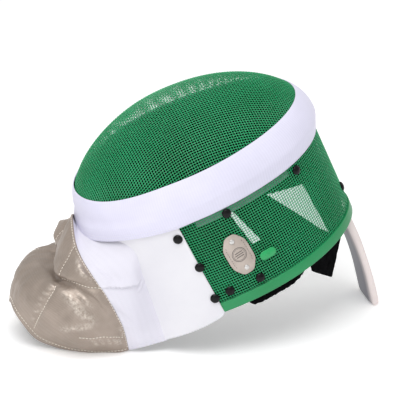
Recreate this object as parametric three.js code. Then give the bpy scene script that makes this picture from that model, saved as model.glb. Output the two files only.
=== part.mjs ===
// Foil fencing mask lying on its back: wire face dome and side wall, seam cover band,
// soft white bib with stiff side panels, conductive throat bib, rear tongue and small trim.
// Millimetres, +Z up. The crown of the mask points to +X, its face points up, its left side is -Y.

import * as THREE from 'three';
import { mergeVertices } from 'three/addons/utils/BufferGeometryUtils.js';

// Attitude: the wall's axis leans back because the crown end is propped on the tongue.
const TILT = THREE.MathUtils.degToRad(21);

// Plan of the wire wall at the lower edge of the cover band, and its flare towards the rear.
const CHIN_RADIUS = 135;
const CROWN_RADIUS = 152;
const SIDE_RADIUS = 106;
const FLARE = Math.tan(THREE.MathUtils.degToRad(5.3));

// Levels along the wall's axis, from the rear edge (negative) up to the face.
const REAR_LEVEL = -115;
const CHIN_REAR_LEVEL = -34;
const SEAM_LEVEL = 21;
const BAND_TOP_LEVEL = 51;
const BAND_LOW_LEVEL = 0;
const SEAM_FLANGE = 6.5;

// Face dome.
const DOME_HEIGHT = 85.5;
const DOME_GROWTH = 6;
const CHIN_TAPER = 4;
const DOME_PLAN_POWER = 1.7;
const DOME_RISE_POWER = 2.15;
const CROWN_FULLNESS = 7;

// Thicknesses and gaps.
const MESH_WALL = 1.4;
const GAP = 0.4;
const FACE_STEPS = 9;
const FACE_SEGMENTS = 44;
const WALL_SEGMENTS = 48;
const BAND_WALL = 1.8;
const PANEL_WALL = 2;
const BIB_WALL = 3;
const LAME_WALL = 3;

// ---------------------------------------------------------------- geometry helpers

// Point of the mask's own frame (u chin to crown, v to the right side, w rear to face).
function place(u, v, w) {
  return new THREE.Vector3(
    u * Math.cos(TILT) - w * Math.sin(TILT),
    v,
    u * Math.sin(TILT) + w * Math.cos(TILT),
  );
}

// Point at an angle round the wall, at a level, standing off the wire surface by `offset`.
function wallPoint(angle, level, offset) {
  const c = Math.cos(angle);
  const s = Math.sin(angle);
  const length = c > 0 ? CROWN_RADIUS : CHIN_RADIUS;
  const normal = new THREE.Vector2(c / length, s / SIDE_RADIUS).normalize();
  const out = offset - FLARE * level;
  return [length * c + out * normal.x, SIDE_RADIUS * s + out * normal.y];
}

// How much less the seam stands out from the wall at the chin than round the sides.
function chinTaper(angle) {
  return CHIN_TAPER * THREE.MathUtils.smoothstep(-Math.cos(angle), 0.2, 0.95);
}

// Point of the face dome: `reach` is 0 at the top and 1 at the seam.
function domePoint(angle, reach, offset) {
  const growth = DOME_GROWTH - chinTaper(angle);
  const edge = wallPoint(angle, SEAM_LEVEL, growth + offset * reach);
  const rise = Math.max(0, 1 - reach ** DOME_PLAN_POWER) ** (1 / DOME_RISE_POWER);
  const lean = CROWN_FULLNESS * (edge[0] * reach / CROWN_RADIUS) * (1 - reach * reach);
  const level = SEAM_LEVEL + (DOME_HEIGHT + offset) * rise + lean;
  return place(edge[0] * reach, edge[1] * reach, level);
}

// Reach of the dome at a level of its side.
function domeReach(level) {
  const rise = Math.max(0, level - SEAM_LEVEL) / DOME_HEIGHT;
  return (1 - rise ** DOME_RISE_POWER) ** (1 / DOME_PLAN_POWER);
}

// Turns a geometry into one closed body: shared corners merged, flat slivers dropped, faces out.
function closedBody(geometry) {
  const bare = geometry.clone();
  bare.deleteAttribute('normal');
  bare.deleteAttribute('uv');
  const merged = mergeVertices(bare, 1e-3);
  const position = merged.attributes.position;
  const source = merged.index.array;
  const index = [];
  let volume = 0;
  const [a, b, c] = [new THREE.Vector3(), new THREE.Vector3(), new THREE.Vector3()];
  for (let i = 0; i < source.length; i += 3) {
    const [p, q, r] = [source[i], source[i + 1], source[i + 2]];
    if (p === q || q === r || r === p) continue;
    index.push(p, q, r);
    a.fromBufferAttribute(position, p);
    b.fromBufferAttribute(position, q);
    c.fromBufferAttribute(position, r);
    volume += a.dot(b.cross(c)) / 6;
  }
  if (volume < 0) index.reverse();
  merged.setIndex(index);
  merged.computeVertexNormals();
  return merged;
}

// Moves every corner of a geometry through `map`, then closes it.
function warped(geometry, map) {
  const position = geometry.attributes.position;
  for (let i = 0; i < position.count; i += 1) {
    const p = map(position.getX(i), position.getY(i), position.getZ(i));
    position.setXYZ(i, p.x, p.y, p.z);
  }
  return closedBody(geometry);
}

// Full ring or cap: a closed lathe profile of (radius, height) read back as angle and profile place.
function ringBody(profile, segments, map) {
  const lathe = new THREE.LatheGeometry(profile, segments);
  return warped(lathe, (x, y, z) => map(Math.atan2(-z, x), Math.hypot(x, z), y));
}

// Thin curved slab: s and t run over its face, k is 0 on the outside and 1 on the inside.
function slabBody(sCount, tCount, map) {
  const box = new THREE.BoxGeometry(1, 1, 1, sCount, tCount, 1);
  return warped(box, (x, y, z) => map(x + 0.5, y + 0.5, z + 0.5));
}

// Curve over the bib from one side to the other. The -Y half is given by hand, and the +Y half
// mirrors it, pulled back towards the mask by up to `pull` because soft cloth isn't even.
function arch(points, pull = 0) {
  const near = points.map(([x, y, z]) => new THREE.Vector3(x, y, z));
  const far = near.slice(0, -1).reverse().map((p) => {
    const back = pull * (1 - Math.abs(p.y) / 90);
    return new THREE.Vector3(p.x + back, -p.y, p.z);
  });
  return new THREE.CatmullRomCurve3([...near, ...far]);
}

function loft(curves) {
  return (s, t) => new THREE.CatmullRomCurve3(curves.map((c) => c.getPoint(s))).getPoint(t);
}

// Slab on a lofted surface, thickened to its inner side.
function loftBody(surface, sCount, tCount, thickness) {
  const step = 1e-3;
  return slabBody(sCount, tCount, (s, t, k) => {
    const p = surface(s, t);
    const ds = surface(Math.min(s + step, 1), t).sub(surface(Math.max(s - step, 0), t));
    const dt = surface(s, Math.min(t + step, 1)).sub(surface(s, Math.max(t - step, 0)));
    const normal = ds.cross(dt).normalize();
    return p.addScaledVector(normal, -k * thickness);
  });
}

const assembly = new THREE.Group();

function addPart(name, geometry, colour, roughness, metalness) {
  const material = new THREE.MeshStandardMaterial({ color: colour, roughness, metalness });
  const mesh = new THREE.Mesh(geometry, material);
  mesh.name = name;
  assembly.add(mesh);
  return mesh;
}

// ---------------------------------------------------------------- wire face and side wall

const GREEN = 0x1f9a60;

function faceMesh() {
  const reaches = [];
  for (let i = 0; i <= FACE_STEPS; i += 1) {
    reaches.push(Math.sin((i / FACE_STEPS) * Math.PI / 2));
  }
  const outer = reaches.map((r) => new THREE.Vector2(r, 1));
  const inner = reaches.slice().reverse().map((r) => new THREE.Vector2(r, 0));
  const body = ringBody([...outer, ...inner], FACE_SEGMENTS, (angle, reach, side) => {
    return domePoint(angle, reach, side > 0.5 ? 0 : -MESH_WALL);
  });
  addPart('face_mesh', body, GREEN, 0.45, 0.3);
}

// The rear edge is level round the crown and sides and rises towards the chin, for the neck.
function rearLevel(angle) {
  const towardsChin = THREE.MathUtils.smoothstep(-Math.cos(angle), 0.35, 0.8);
  return THREE.MathUtils.lerp(REAR_LEVEL, CHIN_REAR_LEVEL, towardsChin);
}

// The wall stops just below the face's edge, and flares out into the seam flange.
const SIDE_TOP_LEVEL = SEAM_LEVEL - 1.2;
const FLANGE_START = 0.95;

function sideMesh() {
  const parts = [0, 0.5, 0.9, 1];
  const outer = parts.map((f) => new THREE.Vector2(2, 1 + f));
  const inner = parts.slice().reverse().map((f) => new THREE.Vector2(1, 1 + f));
  const body = ringBody([...outer, ...inner, outer[0]], WALL_SEGMENTS, (angle, side, height) => {
    const level = THREE.MathUtils.lerp(rearLevel(angle), SIDE_TOP_LEVEL, height - 1);
    const flange = height - 1 > FLANGE_START ? SEAM_FLANGE - chinTaper(angle) : 0;
    const [u, v] = wallPoint(angle, level, flange - (side > 1.5 ? 0 : MESH_WALL));
    return place(u, v, level);
  });
  addPart('side_mesh', body, GREEN, 0.45, 0.3);
}

// ---------------------------------------------------------------- cover band over the seam

// Below BAND_BEND, as a share of its height, the band slopes out from the wall over the seam
// flange; above it, it follows the face.
const BAND_BEND = 0.4;
const BAND_CLEARANCE = GAP + 0.9;

function coverBand() {
  const parts = [0, 0.2, 0.4, 0.6, 0.8, 1];
  const outer = parts.map((f) => new THREE.Vector2(2, 1 + f));
  const inner = parts.slice().reverse().map((f) => new THREE.Vector2(1, 1 + f));
  const body = ringBody([...outer, ...inner, outer[0]], WALL_SEGMENTS, (angle, side, height) => {
    const part = height - 1;
    const taper = chinTaper(angle);
    const level = THREE.MathUtils.lerp(BAND_LOW_LEVEL, BAND_TOP_LEVEL - taper, part);
    const skin = side > 1.5 ? BAND_WALL : 0;
    if (part < BAND_BEND + 1e-3) {
      const out = SEAM_FLANGE - taper + BAND_CLEARANCE;
      const slope = THREE.MathUtils.lerp(GAP, out, part / BAND_BEND);
      const [u, v] = wallPoint(angle, level, slope + skin);
      return place(u, v, level);
    }
    const [u, v] = wallPoint(angle, SEAM_LEVEL, DOME_GROWTH - taper);
    const grow = domeReach(level) * (1 + (skin + BAND_CLEARANCE) / Math.hypot(u, v));
    return place(u * grow, v * grow, level);
  });
  addPart('cover_band', body, 0xe6e4f4, 0.8, 0);
}

// ---------------------------------------------------------------- rear trim

const TRIM_START = THREE.MathUtils.degToRad(-101.5);
const TRIM_HEIGHT = 10;
const TRIM_WALL = 1.6;
const TRIM_STEPS = 36;

function rearTrim() {
  const low = REAR_LEVEL - GAP - TRIM_WALL;
  const high = REAR_LEVEL + TRIM_HEIGHT;
  const outside = GAP + TRIM_WALL;
  const inside = -MESH_WALL - GAP - TRIM_WALL;
  const section = [
    [outside, low], [outside, high], [GAP, high], [GAP, REAR_LEVEL - GAP],
    [-MESH_WALL - GAP, REAR_LEVEL - GAP], [-MESH_WALL - GAP, high], [inside, high], [inside, low],
  ];
  const shape = new THREE.Shape(section.map(([x, y]) => new THREE.Vector2(x, y)));
  const strip = new THREE.ExtrudeGeometry(shape, { depth: 1, steps: TRIM_STEPS, bevelEnabled: false });
  const body = warped(strip, (offset, level, along) => {
    const angle = THREE.MathUtils.lerp(TRIM_START, -TRIM_START, along);
    const [u, v] = wallPoint(angle, level, offset);
    return place(u, v, level);
  });
  addPart('rear_trim', body, 0x33a86b, 0.35, 0);
}

// ---------------------------------------------------------------- white side panels and bib

const PANEL_TOP_LEVEL = -0.6;
const PANEL_STANDOFF = 2.6;
const PANEL_REAR_LEVEL = -117.5;
const PANEL_DROP = 13.5;
const PANEL_DROP_POWER = 0.6;

// The panel's edge on the wires leans a little; the crease edge is where it leaves the wall.
function panelMeshEdge(level) {
  return THREE.MathUtils.degToRad(-108.8 - level * 0.055);
}

const PANEL_CREASE = THREE.MathUtils.degToRad(-137.5);

// `sign` is 1 on the left and -1 on the right.
function sidePanel(name, sign) {
  const body = slabBody(7, 5, (s, t, k) => {
    const bottom = PANEL_REAR_LEVEL - PANEL_DROP * s ** PANEL_DROP_POWER;
    const level = THREE.MathUtils.lerp(PANEL_TOP_LEVEL, bottom, t);
    const angle = THREE.MathUtils.lerp(panelMeshEdge(level), PANEL_CREASE, s);
    const offset = PANEL_STANDOFF - PANEL_WALL * k;
    const [u, v] = wallPoint(angle, level, offset);
    return place(u, v * sign, level);
  });
  addPart(name, body, 0xf0f0f4, 0.7, 0);
}

// White bib: from the crease on the wall and the chin, out to the conductive bib.
const BIB_TOP_LEVEL = PANEL_TOP_LEVEL - 2;
const CREASE_CLEARANCE = 0.02;

function wallArch() {
  const crease = (level) => {
    const [u, v] = wallPoint(PANEL_CREASE - CREASE_CLEARANCE, level, PANEL_STANDOFF + GAP);
    return place(u, v, level).toArray();
  };
  const chin = (degrees) => {
    const angle = THREE.MathUtils.degToRad(degrees);
    const [u, v] = wallPoint(angle, BIB_TOP_LEVEL, PANEL_STANDOFF + 2 * GAP);
    return place(u, v, BIB_TOP_LEVEL).toArray();
  };
  const creases = [PANEL_REAR_LEVEL - PANEL_DROP, -90, -50, -12].map(crease);
  return arch([...creases, ...[-150, -165, -180].map(chin)]);
}

// How far the bib's right half, away from the wearer's left, sits back towards the mask.

const BIB_PULL = 14;

const bibEdge = arch([
  [-93.5, -72, -177], [-103, -86, -142], [-114, -88.5, -116], [-125, -86, -94],
  [-137, -75, -75], [-147, -44, -57], [-145, 0, -50],
], BIB_PULL);

function bib() {
  const middle = arch([
    [-78, -80, -171], [-86, -90, -142], [-95, -92, -114], [-106, -86, -90],
    [-122, -70, -67], [-139, -37, -54.5], [-137, 0, -51.5],
  ], BIB_PULL / 2);
  const body = loftBody(loft([wallArch(), middle, bibEdge]), 30, 4, BIB_WALL);
  addPart('bib', body, 0xf7f7fb, 0.75, 0);
}

// ---------------------------------------------------------------- conductive bib

function conductiveBib() {
  const start = arch([
    [-94.9, -72.2, -177], [-104.4, -86.2, -142], [-115.4, -88.7, -116], [-126.6, -86.4, -93],
    [-138.9, -75.8, -73], [-149.4, -44.2, -53], [-148, 0, -46],
  ], BIB_PULL);
  const rollTop = arch([
    [-99, -72.5, -177.5], [-108, -87, -143], [-118, -89.5, -118], [-130, -87.5, -95],
    [-149, -71, -71], [-158, -40, -62], [-157, 0, -62],
  ], BIB_PULL);
  const rollLow = arch([
    [-103, -72.7, -178], [-111, -87.5, -144], [-121, -90, -120], [-134, -88.5, -99],
    [-158, -66, -84], [-169, -38, -84], [-169, 0, -83],
  ], BIB_PULL);
  const crease = arch([
    [-107, -72.5, -178], [-114, -87.5, -146], [-124, -89.5, -122], [-136, -85.5, -102],
    [-156, -62, -92], [-164, -38, -93], [-163, 0, -93],
  ], BIB_PULL * 0.7);
  const swell = arch([
    [-122, -68, -178.3], [-131, -86, -149], [-143, -88, -128], [-157, -80, -112],
    [-174, -62, -98], [-183, -36, -93], [-184, 0, -92],
  ]);
  const skirt = arch([
    [-138, -64, -178.4], [-149, -80, -156], [-165, -80, -138], [-180, -70, -125],
    [-196, -50, -114], [-205, -26, -107], [-206, 0, -105],
  ]);
  const hem = arch([
    [-150, -58, -178.4], [-164, -52, -177], [-180, -44, -173.5], [-196, -36, -166],
    [-210, -27, -148], [-216, -14, -135], [-217, 0, -127],
  ]);
  const surface = loft([start, rollTop, rollLow, crease, swell, skirt, hem]);
  const body = loftBody(surface, 28, 12, LAME_WALL);
  addPart('bib_conductive', body, 0xa3968c, 0.4, 0.5);
}

// ---------------------------------------------------------------- rear tongue

const TONGUE_WIDTH = 58;
const TONGUE_THICKNESS = 12;
const TABLE_LEVEL = -178.6;

function tongue() {
  const spine = new THREE.CatmullRomCurve3([
    new THREE.Vector3(182, 0, -64),
    new THREE.Vector3(195, 0, -98),
    new THREE.Vector3(207, 0, -131),
    new THREE.Vector3(217, 0, TABLE_LEVEL),
  ]);
  const body = slabBody(4, 10, (s, t, k) => {
    const round = 0.5 - 0.5 * Math.abs(2 * s - 1) ** 4;
    const p = spine.getPoint(t);
    const tangent = spine.getTangent(t);
    const normal = new THREE.Vector3(-tangent.z, 0, tangent.x);
    const half = TONGUE_THICKNESS * (0.5 + round) / 2;
    p.addScaledVector(normal, (0.5 - k) * 2 * half);
    p.y = (s - 0.5) * TONGUE_WIDTH;
    if (t > 0.999) p.z = TABLE_LEVEL;
    return p;
  });
  addPart('tongue', body, 0xede6e6, 0.7, 0);
}

// ---------------------------------------------------------------- small fittings

// Stands a mesh on the outside of the wall: its +Y along the outward normal, its +Z up the wall.
function onWall(mesh, degrees, level, standoff) {
  const angle = THREE.MathUtils.degToRad(degrees);
  const at = (a, l) => {
    const [u, v] = wallPoint(a, l, standoff);
    return place(u, v, l);
  };
  const up = at(angle, level + 1).sub(at(angle, level - 1)).normalize();
  const along = at(angle + 0.01, level).sub(at(angle - 0.01, level)).normalize();
  const normal = along.cross(up).normalize();
  const side = normal.clone().cross(up);
  mesh.matrixAutoUpdate = false;
  mesh.matrix.makeBasis(side, normal, up).setPosition(at(angle, level));
}

const STUD_RADIUS = 5.6;
const STUD_HEIGHT = 3.4;
const STUD_RIM = 0.6;
const STUD_STEPS = 3;

function studBody() {
  const dome = [];
  for (let i = 0; i <= STUD_STEPS; i += 1) {
    const a = (i / STUD_STEPS) * Math.PI / 2;
    const height = STUD_RIM + (STUD_HEIGHT - STUD_RIM) * Math.sin(a);
    dome.push(new THREE.Vector2(STUD_RADIUS * Math.cos(a), height));
  }
  dome[STUD_STEPS].x = 0;
  const profile = [new THREE.Vector2(0, 0), new THREE.Vector2(STUD_RADIUS, 0), ...dome];
  return closedBody(new THREE.LatheGeometry(profile, 12));
}

// Angle and level of each stud on the left side.
const PANEL_STUDS = [[-111.6, -13.3], [-108.4, -55], [-107, -97]];
const WIRE_STUDS = [[-86, -7.5], [-46.5, -9.6], [-83.7, -96], [-98.2, -95]];
const CROWN_STUD = [-10, -84];

function studs() {
  const places = [...PANEL_STUDS, ...WIRE_STUDS, CROWN_STUD];
  for (const sideName of ['left', 'right']) {
    places.forEach(([degrees, level], i) => {
      const stud = addPart(`stud_${sideName}_${i + 1}`, studBody(), 0x1c1c20, 0.3, 0);
      const standoff = i < PANEL_STUDS.length ? PANEL_STANDOFF + GAP : GAP;
      onWall(stud, sideName === 'left' ? degrees : -degrees, level, standoff);
    });
  }
}

// Rating plate: a long hexagon with rounded ends, and its two rivets.
const PLATE_LENGTH = 54;
const PLATE_WIDTH = 28;
const PLATE_WALL = 1.2;
const PLATE_STANDOFF = 1.2;
const PLATE_AT = [-88, -58.5];
const PLATE_NOSE = 6;
const RIVET_SPACING = 36;
const RIVET_PROFILE = [[0, 0], [3, 0], [2.4, 0.8], [0, 1.1]];

function ratingPlate() {
  const shape = new THREE.Shape();
  const side = PLATE_WIDTH / 2;
  const flat = PLATE_LENGTH * 0.24;
  const shoulder = flat + PLATE_NOSE;
  const nose = PLATE_LENGTH / 2 - 1.5;
  const tip = PLATE_LENGTH / 2 + 1.5;
  shape.moveTo(side, -flat);
  shape.lineTo(side, flat);
  shape.quadraticCurveTo(side, shoulder, PLATE_NOSE, nose);
  shape.quadraticCurveTo(0, tip, -PLATE_NOSE, nose);
  shape.quadraticCurveTo(-side, shoulder, -side, flat);
  shape.lineTo(-side, -flat);
  shape.quadraticCurveTo(-side, -shoulder, -PLATE_NOSE, -nose);
  shape.quadraticCurveTo(0, -tip, PLATE_NOSE, -nose);
  shape.quadraticCurveTo(side, -shoulder, side, -flat);
  const options = { depth: PLATE_WALL, bevelEnabled: false, curveSegments: 5 };
  const plate = new THREE.ExtrudeGeometry(shape, options);
  plate.rotateX(-Math.PI / 2);
  const mesh = addPart('rating_plate', closedBody(plate), 0xd5ccc4, 0.4, 0.6);
  onWall(mesh, PLATE_AT[0], PLATE_AT[1], PLATE_STANDOFF);
  for (const [name, end] of [['plate_rivet_lower', -1], ['plate_rivet_upper', 1]]) {
    const head = new THREE.LatheGeometry(RIVET_PROFILE.map(([x, y]) => new THREE.Vector2(x, y)), 12);
    const rivet = addPart(name, closedBody(head), 0xc9c2bc, 0.35, 0.8);
    const level = PLATE_AT[1] + end * RIVET_SPACING / 2;
    onWall(rivet, PLATE_AT[0], level, PLATE_STANDOFF + PLATE_WALL + GAP);
  }
}

// Small oblong size tag that lies along the wall.
const TAG_LENGTH = 19;
const TAG_WIDTH = 10;
const TAG_WALL = 1.4;
const TAG_AT = [-76.7, -74];

function sizeTag() {
  const shape = new THREE.Shape();
  const run = (TAG_LENGTH - TAG_WIDTH) / 2;
  shape.absarc(run, 0, TAG_WIDTH / 2, -Math.PI / 2, Math.PI / 2, false);
  shape.absarc(-run, 0, TAG_WIDTH / 2, Math.PI / 2, Math.PI * 1.5, false);
  const options = { depth: TAG_WALL, bevelEnabled: false, curveSegments: 8 };
  const tag = new THREE.ExtrudeGeometry(shape, options);
  tag.rotateX(-Math.PI / 2);
  const mesh = addPart('size_tag', closedBody(tag), 0x27b56c, 0.4, 0);
  onWall(mesh, TAG_AT[0], TAG_AT[1], 1);
}

// ---------------------------------------------------------------- lining inside the wall

const LINING_STANDOFF = -MESH_WALL - GAP - TRIM_WALL - 1.4;
const PAD_COLOUR = 0x0a0a0c;
const TAPE_COLOUR = 0x8f929a;

// Pad on the inside of the wall between two angles, in degrees, and two levels.
// Its rear edge drops by `drop` on the stretch nearer to the chin, and reaches `lean` degrees
// further towards the crown than its front edge.
function liningPad(name, [from, to], [low, high], thickness, drop, lean, colour) {
  const chinEnd = Math.abs(from) > Math.abs(to) ? 0 : 1;
  const body = slabBody(12, 3, (s, t, k) => {
    const further = -Math.sign(from) * lean * Math.abs(s - chinEnd) * (1 - t);
    const angle = THREE.MathUtils.degToRad(THREE.MathUtils.lerp(from, to, s) + further);
    const rear = low - drop * (1 - THREE.MathUtils.smoothstep(Math.abs(s - chinEnd), 0.5, 0.75));
    const level = THREE.MathUtils.lerp(rear, high, t);
    const [u, v] = wallPoint(angle, level, LINING_STANDOFF - thickness * k);
    return place(u, v, level);
  });
  addPart(name, body, colour, 0.9, 0);
}

function lining() {
  liningPad('side_pad_left', [-108, -65], [-114, -14], 8, 12, 21, PAD_COLOUR);
  liningPad('side_pad_right', [65, 108], [-114, -14], 8, 12, 21, PAD_COLOUR);
  liningPad('crown_pad', [-42, 42], [-112, -16], 9, 0, 0, PAD_COLOUR);
  liningPad('seam_tape_left', [-101, -50], [-12, -2], 2, 0, 0, TAPE_COLOUR);
  liningPad('seam_tape_right', [50, 101], [-12, -2], 2, 0, 0, TAPE_COLOUR);
}

// Flat hook-and-loop strap end that hangs from inside the rear edge, near the crown.
// `sign` is 1 on the left and -1 on the right.
const STRAP_WALL = 3;
const STRAP_UPPER = [new THREE.Vector3(119, 75, -82), new THREE.Vector3(168, 47, -62)];
const STRAP_LOWER = [new THREE.Vector3(124, 75, -101), new THREE.Vector3(156, 52, -121)];

function strapEnd(name, sign) {
  const upper = new THREE.LineCurve3(...STRAP_UPPER);
  const lower = new THREE.LineCurve3(...STRAP_LOWER);
  const body = slabBody(3, 4, (s, t, k) => {
    const p = upper.getPoint(s).lerp(lower.getPoint(s), t);
    p.x -= STRAP_WALL * 0.5 * k;
    p.y -= STRAP_WALL * k;
    p.y *= -sign;
    return p;
  });
  addPart(name, body, 0x050507, 0.95, 0);
}

faceMesh();
sideMesh();
coverBand();
rearTrim();
sidePanel('side_panel_left', 1);
sidePanel('side_panel_right', -1);
bib();
conductiveBib();
tongue();
studs();
ratingPlate();
sizeTag();
lining();
strapEnd('strap_end_left', 1);
strapEnd('strap_end_right', -1);

// The origin is the middle of the footprint, on the surface that the mask lies on.
assembly.updateMatrixWorld(true);
const bounds = new THREE.Box3().setFromObject(assembly, true);
const centre = bounds.getCenter(new THREE.Vector3());
assembly.position.set(-centre.x, -centre.y, -bounds.min.z);

const mask = new THREE.Group();
mask.add(assembly);
mask.updateMatrixWorld(true);

export default mask;
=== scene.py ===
"""Looks of the foil fencing mask: woven wires, cloth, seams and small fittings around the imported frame."""

import logging
import math
from collections.abc import Sequence
from dataclasses import dataclass, field
from enum import Enum

import bmesh
import bpy
import numpy as np
from mathutils import Matrix, Vector


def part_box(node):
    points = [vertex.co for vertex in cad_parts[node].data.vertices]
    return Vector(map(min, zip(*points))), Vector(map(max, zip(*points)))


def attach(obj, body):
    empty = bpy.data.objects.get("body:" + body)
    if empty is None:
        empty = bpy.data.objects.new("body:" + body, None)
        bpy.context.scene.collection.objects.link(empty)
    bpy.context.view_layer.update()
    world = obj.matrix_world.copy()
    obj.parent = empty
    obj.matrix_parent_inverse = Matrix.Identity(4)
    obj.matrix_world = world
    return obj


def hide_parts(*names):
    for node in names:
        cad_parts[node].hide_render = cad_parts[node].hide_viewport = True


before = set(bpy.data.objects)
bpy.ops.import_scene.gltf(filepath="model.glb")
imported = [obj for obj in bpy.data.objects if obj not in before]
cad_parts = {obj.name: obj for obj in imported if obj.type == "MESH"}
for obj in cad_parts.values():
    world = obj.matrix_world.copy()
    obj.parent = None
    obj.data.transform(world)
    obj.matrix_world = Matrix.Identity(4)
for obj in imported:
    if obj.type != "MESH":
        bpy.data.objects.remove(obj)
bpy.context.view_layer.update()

LOG = logging.getLogger("fencing_mask")
MM = 0.001
Points = np.ndarray
Pair = tuple[float, float]


class Side(Enum):
    """Side of the wearer's head."""

    LEFT = -1
    RIGHT = 1


class Hold(Enum):
    """How a sheet of cloth is held."""

    STRETCHED = "stretched"
    DRAPED = "draped"
    HUNG = "hung"


class Stitch(Enum):
    """Length, gap and thread radius of a row of stitches, in millimetres, on each cloth."""

    LAME = (2.1, 1.8, 0.48)
    BAND = (1.9, 1.5, 0.24)
    BIB = (2.2, 1.5, 0.22)


# ------------------------------------------------------------------ curves and surfaces


def spline(knots: Points, at: Points) -> Points:
    """Centripetal curve through knots.

    Args:
        knots: control points, shape (n, ..., 3).
        at: places along the curve from 0 to 1, shape (m,).

    Returns:
        Points of shape (m, ..., 3).
    """
    count = len(knots)
    first, last = 2 * knots[0] - knots[1], 2 * knots[-1] - knots[-2]
    line = np.concatenate([[first], knots, [last]])
    place = np.asarray(at, float) * (count - 1)
    index = np.clip(np.floor(place).astype(int), 0, count - 2)
    p0, p1, p2, p3 = (line[index + k] for k in range(4))

    def knot_gap(a: Points, b: Points) -> Points:
        """Square root of the distance between two rows of points."""
        return np.maximum(np.linalg.norm(a - b, axis=-1, keepdims=True) ** 0.5, 1e-6)

    d0, d1, d2 = knot_gap(p0, p1), knot_gap(p1, p2), knot_gap(p2, p3)
    m1 = ((p1 - p0) / d0 - (p2 - p0) / (d0 + d1) + (p2 - p1) / d1) * d1
    m2 = ((p2 - p1) / d1 - (p3 - p1) / (d1 + d2) + (p3 - p2) / d2) * d1
    w = (place - index).reshape(-1, *[1] * (p1.ndim - 1))
    return p1 + m1 * w + (3 * (p2 - p1) - 2 * m1 - m2) * w**2 + (2 * (p1 - p2) + m1 + m2) * w**3


def unit(vectors: Points) -> Points:
    """Vectors at length one."""
    return vectors / np.maximum(np.linalg.norm(vectors, axis=-1, keepdims=True), 1e-12)


def smooth_step(value: Points, low: float, high: float) -> Points:
    """0 below low, 1 above high, and smooth in between."""
    x = np.clip((value - low) / (high - low), 0, 1)
    return x * x * (3 - 2 * x)


def run_length(path: Points) -> Points:
    """Distance along a path at each of its points."""
    steps = np.linalg.norm(np.diff(path, axis=0), axis=1)
    return np.concatenate([[0], np.cumsum(steps)])


def evenly(path: Points, step: float) -> Points:
    """Path resampled at equal steps.

    Args:
        path: points of the path, in any number of dimensions.
        step: about how long each step is, in metres.

    Returns:
        The new points.
    """
    run = run_length(path)
    at = np.linspace(0, run[-1], max(2, round(run[-1] / step) + 1))
    return np.stack([np.interp(at, run, path[:, k]) for k in range(path.shape[1])], 1)


def grid_normals(grid: Points) -> Points:
    """Unit normals of a grid of points, from its rows crossed with its columns."""
    return unit(np.cross(np.gradient(grid, axis=0), np.gradient(grid, axis=1)))


def ripple(points: Points, wave: float, seed: int, count: int = 9) -> Points:
    """Smooth uneven field of about unit height.

    Args:
        points: where to read it.
        wave: typical distance from crest to crest, in metres.
        seed: fixes the draw.
        count: how many waves are added.

    Returns:
        One number for each point.
    """
    draw = np.random.default_rng(seed)
    ways = unit(draw.normal(size=(count, 3))) * (2 * math.pi / wave) * draw.uniform(0.6, 1.5, (count, 1))
    phases = draw.uniform(0, 2 * math.pi, count)
    return np.sin(points @ ways.T + phases).sum(-1) / math.sqrt(count)


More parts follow.
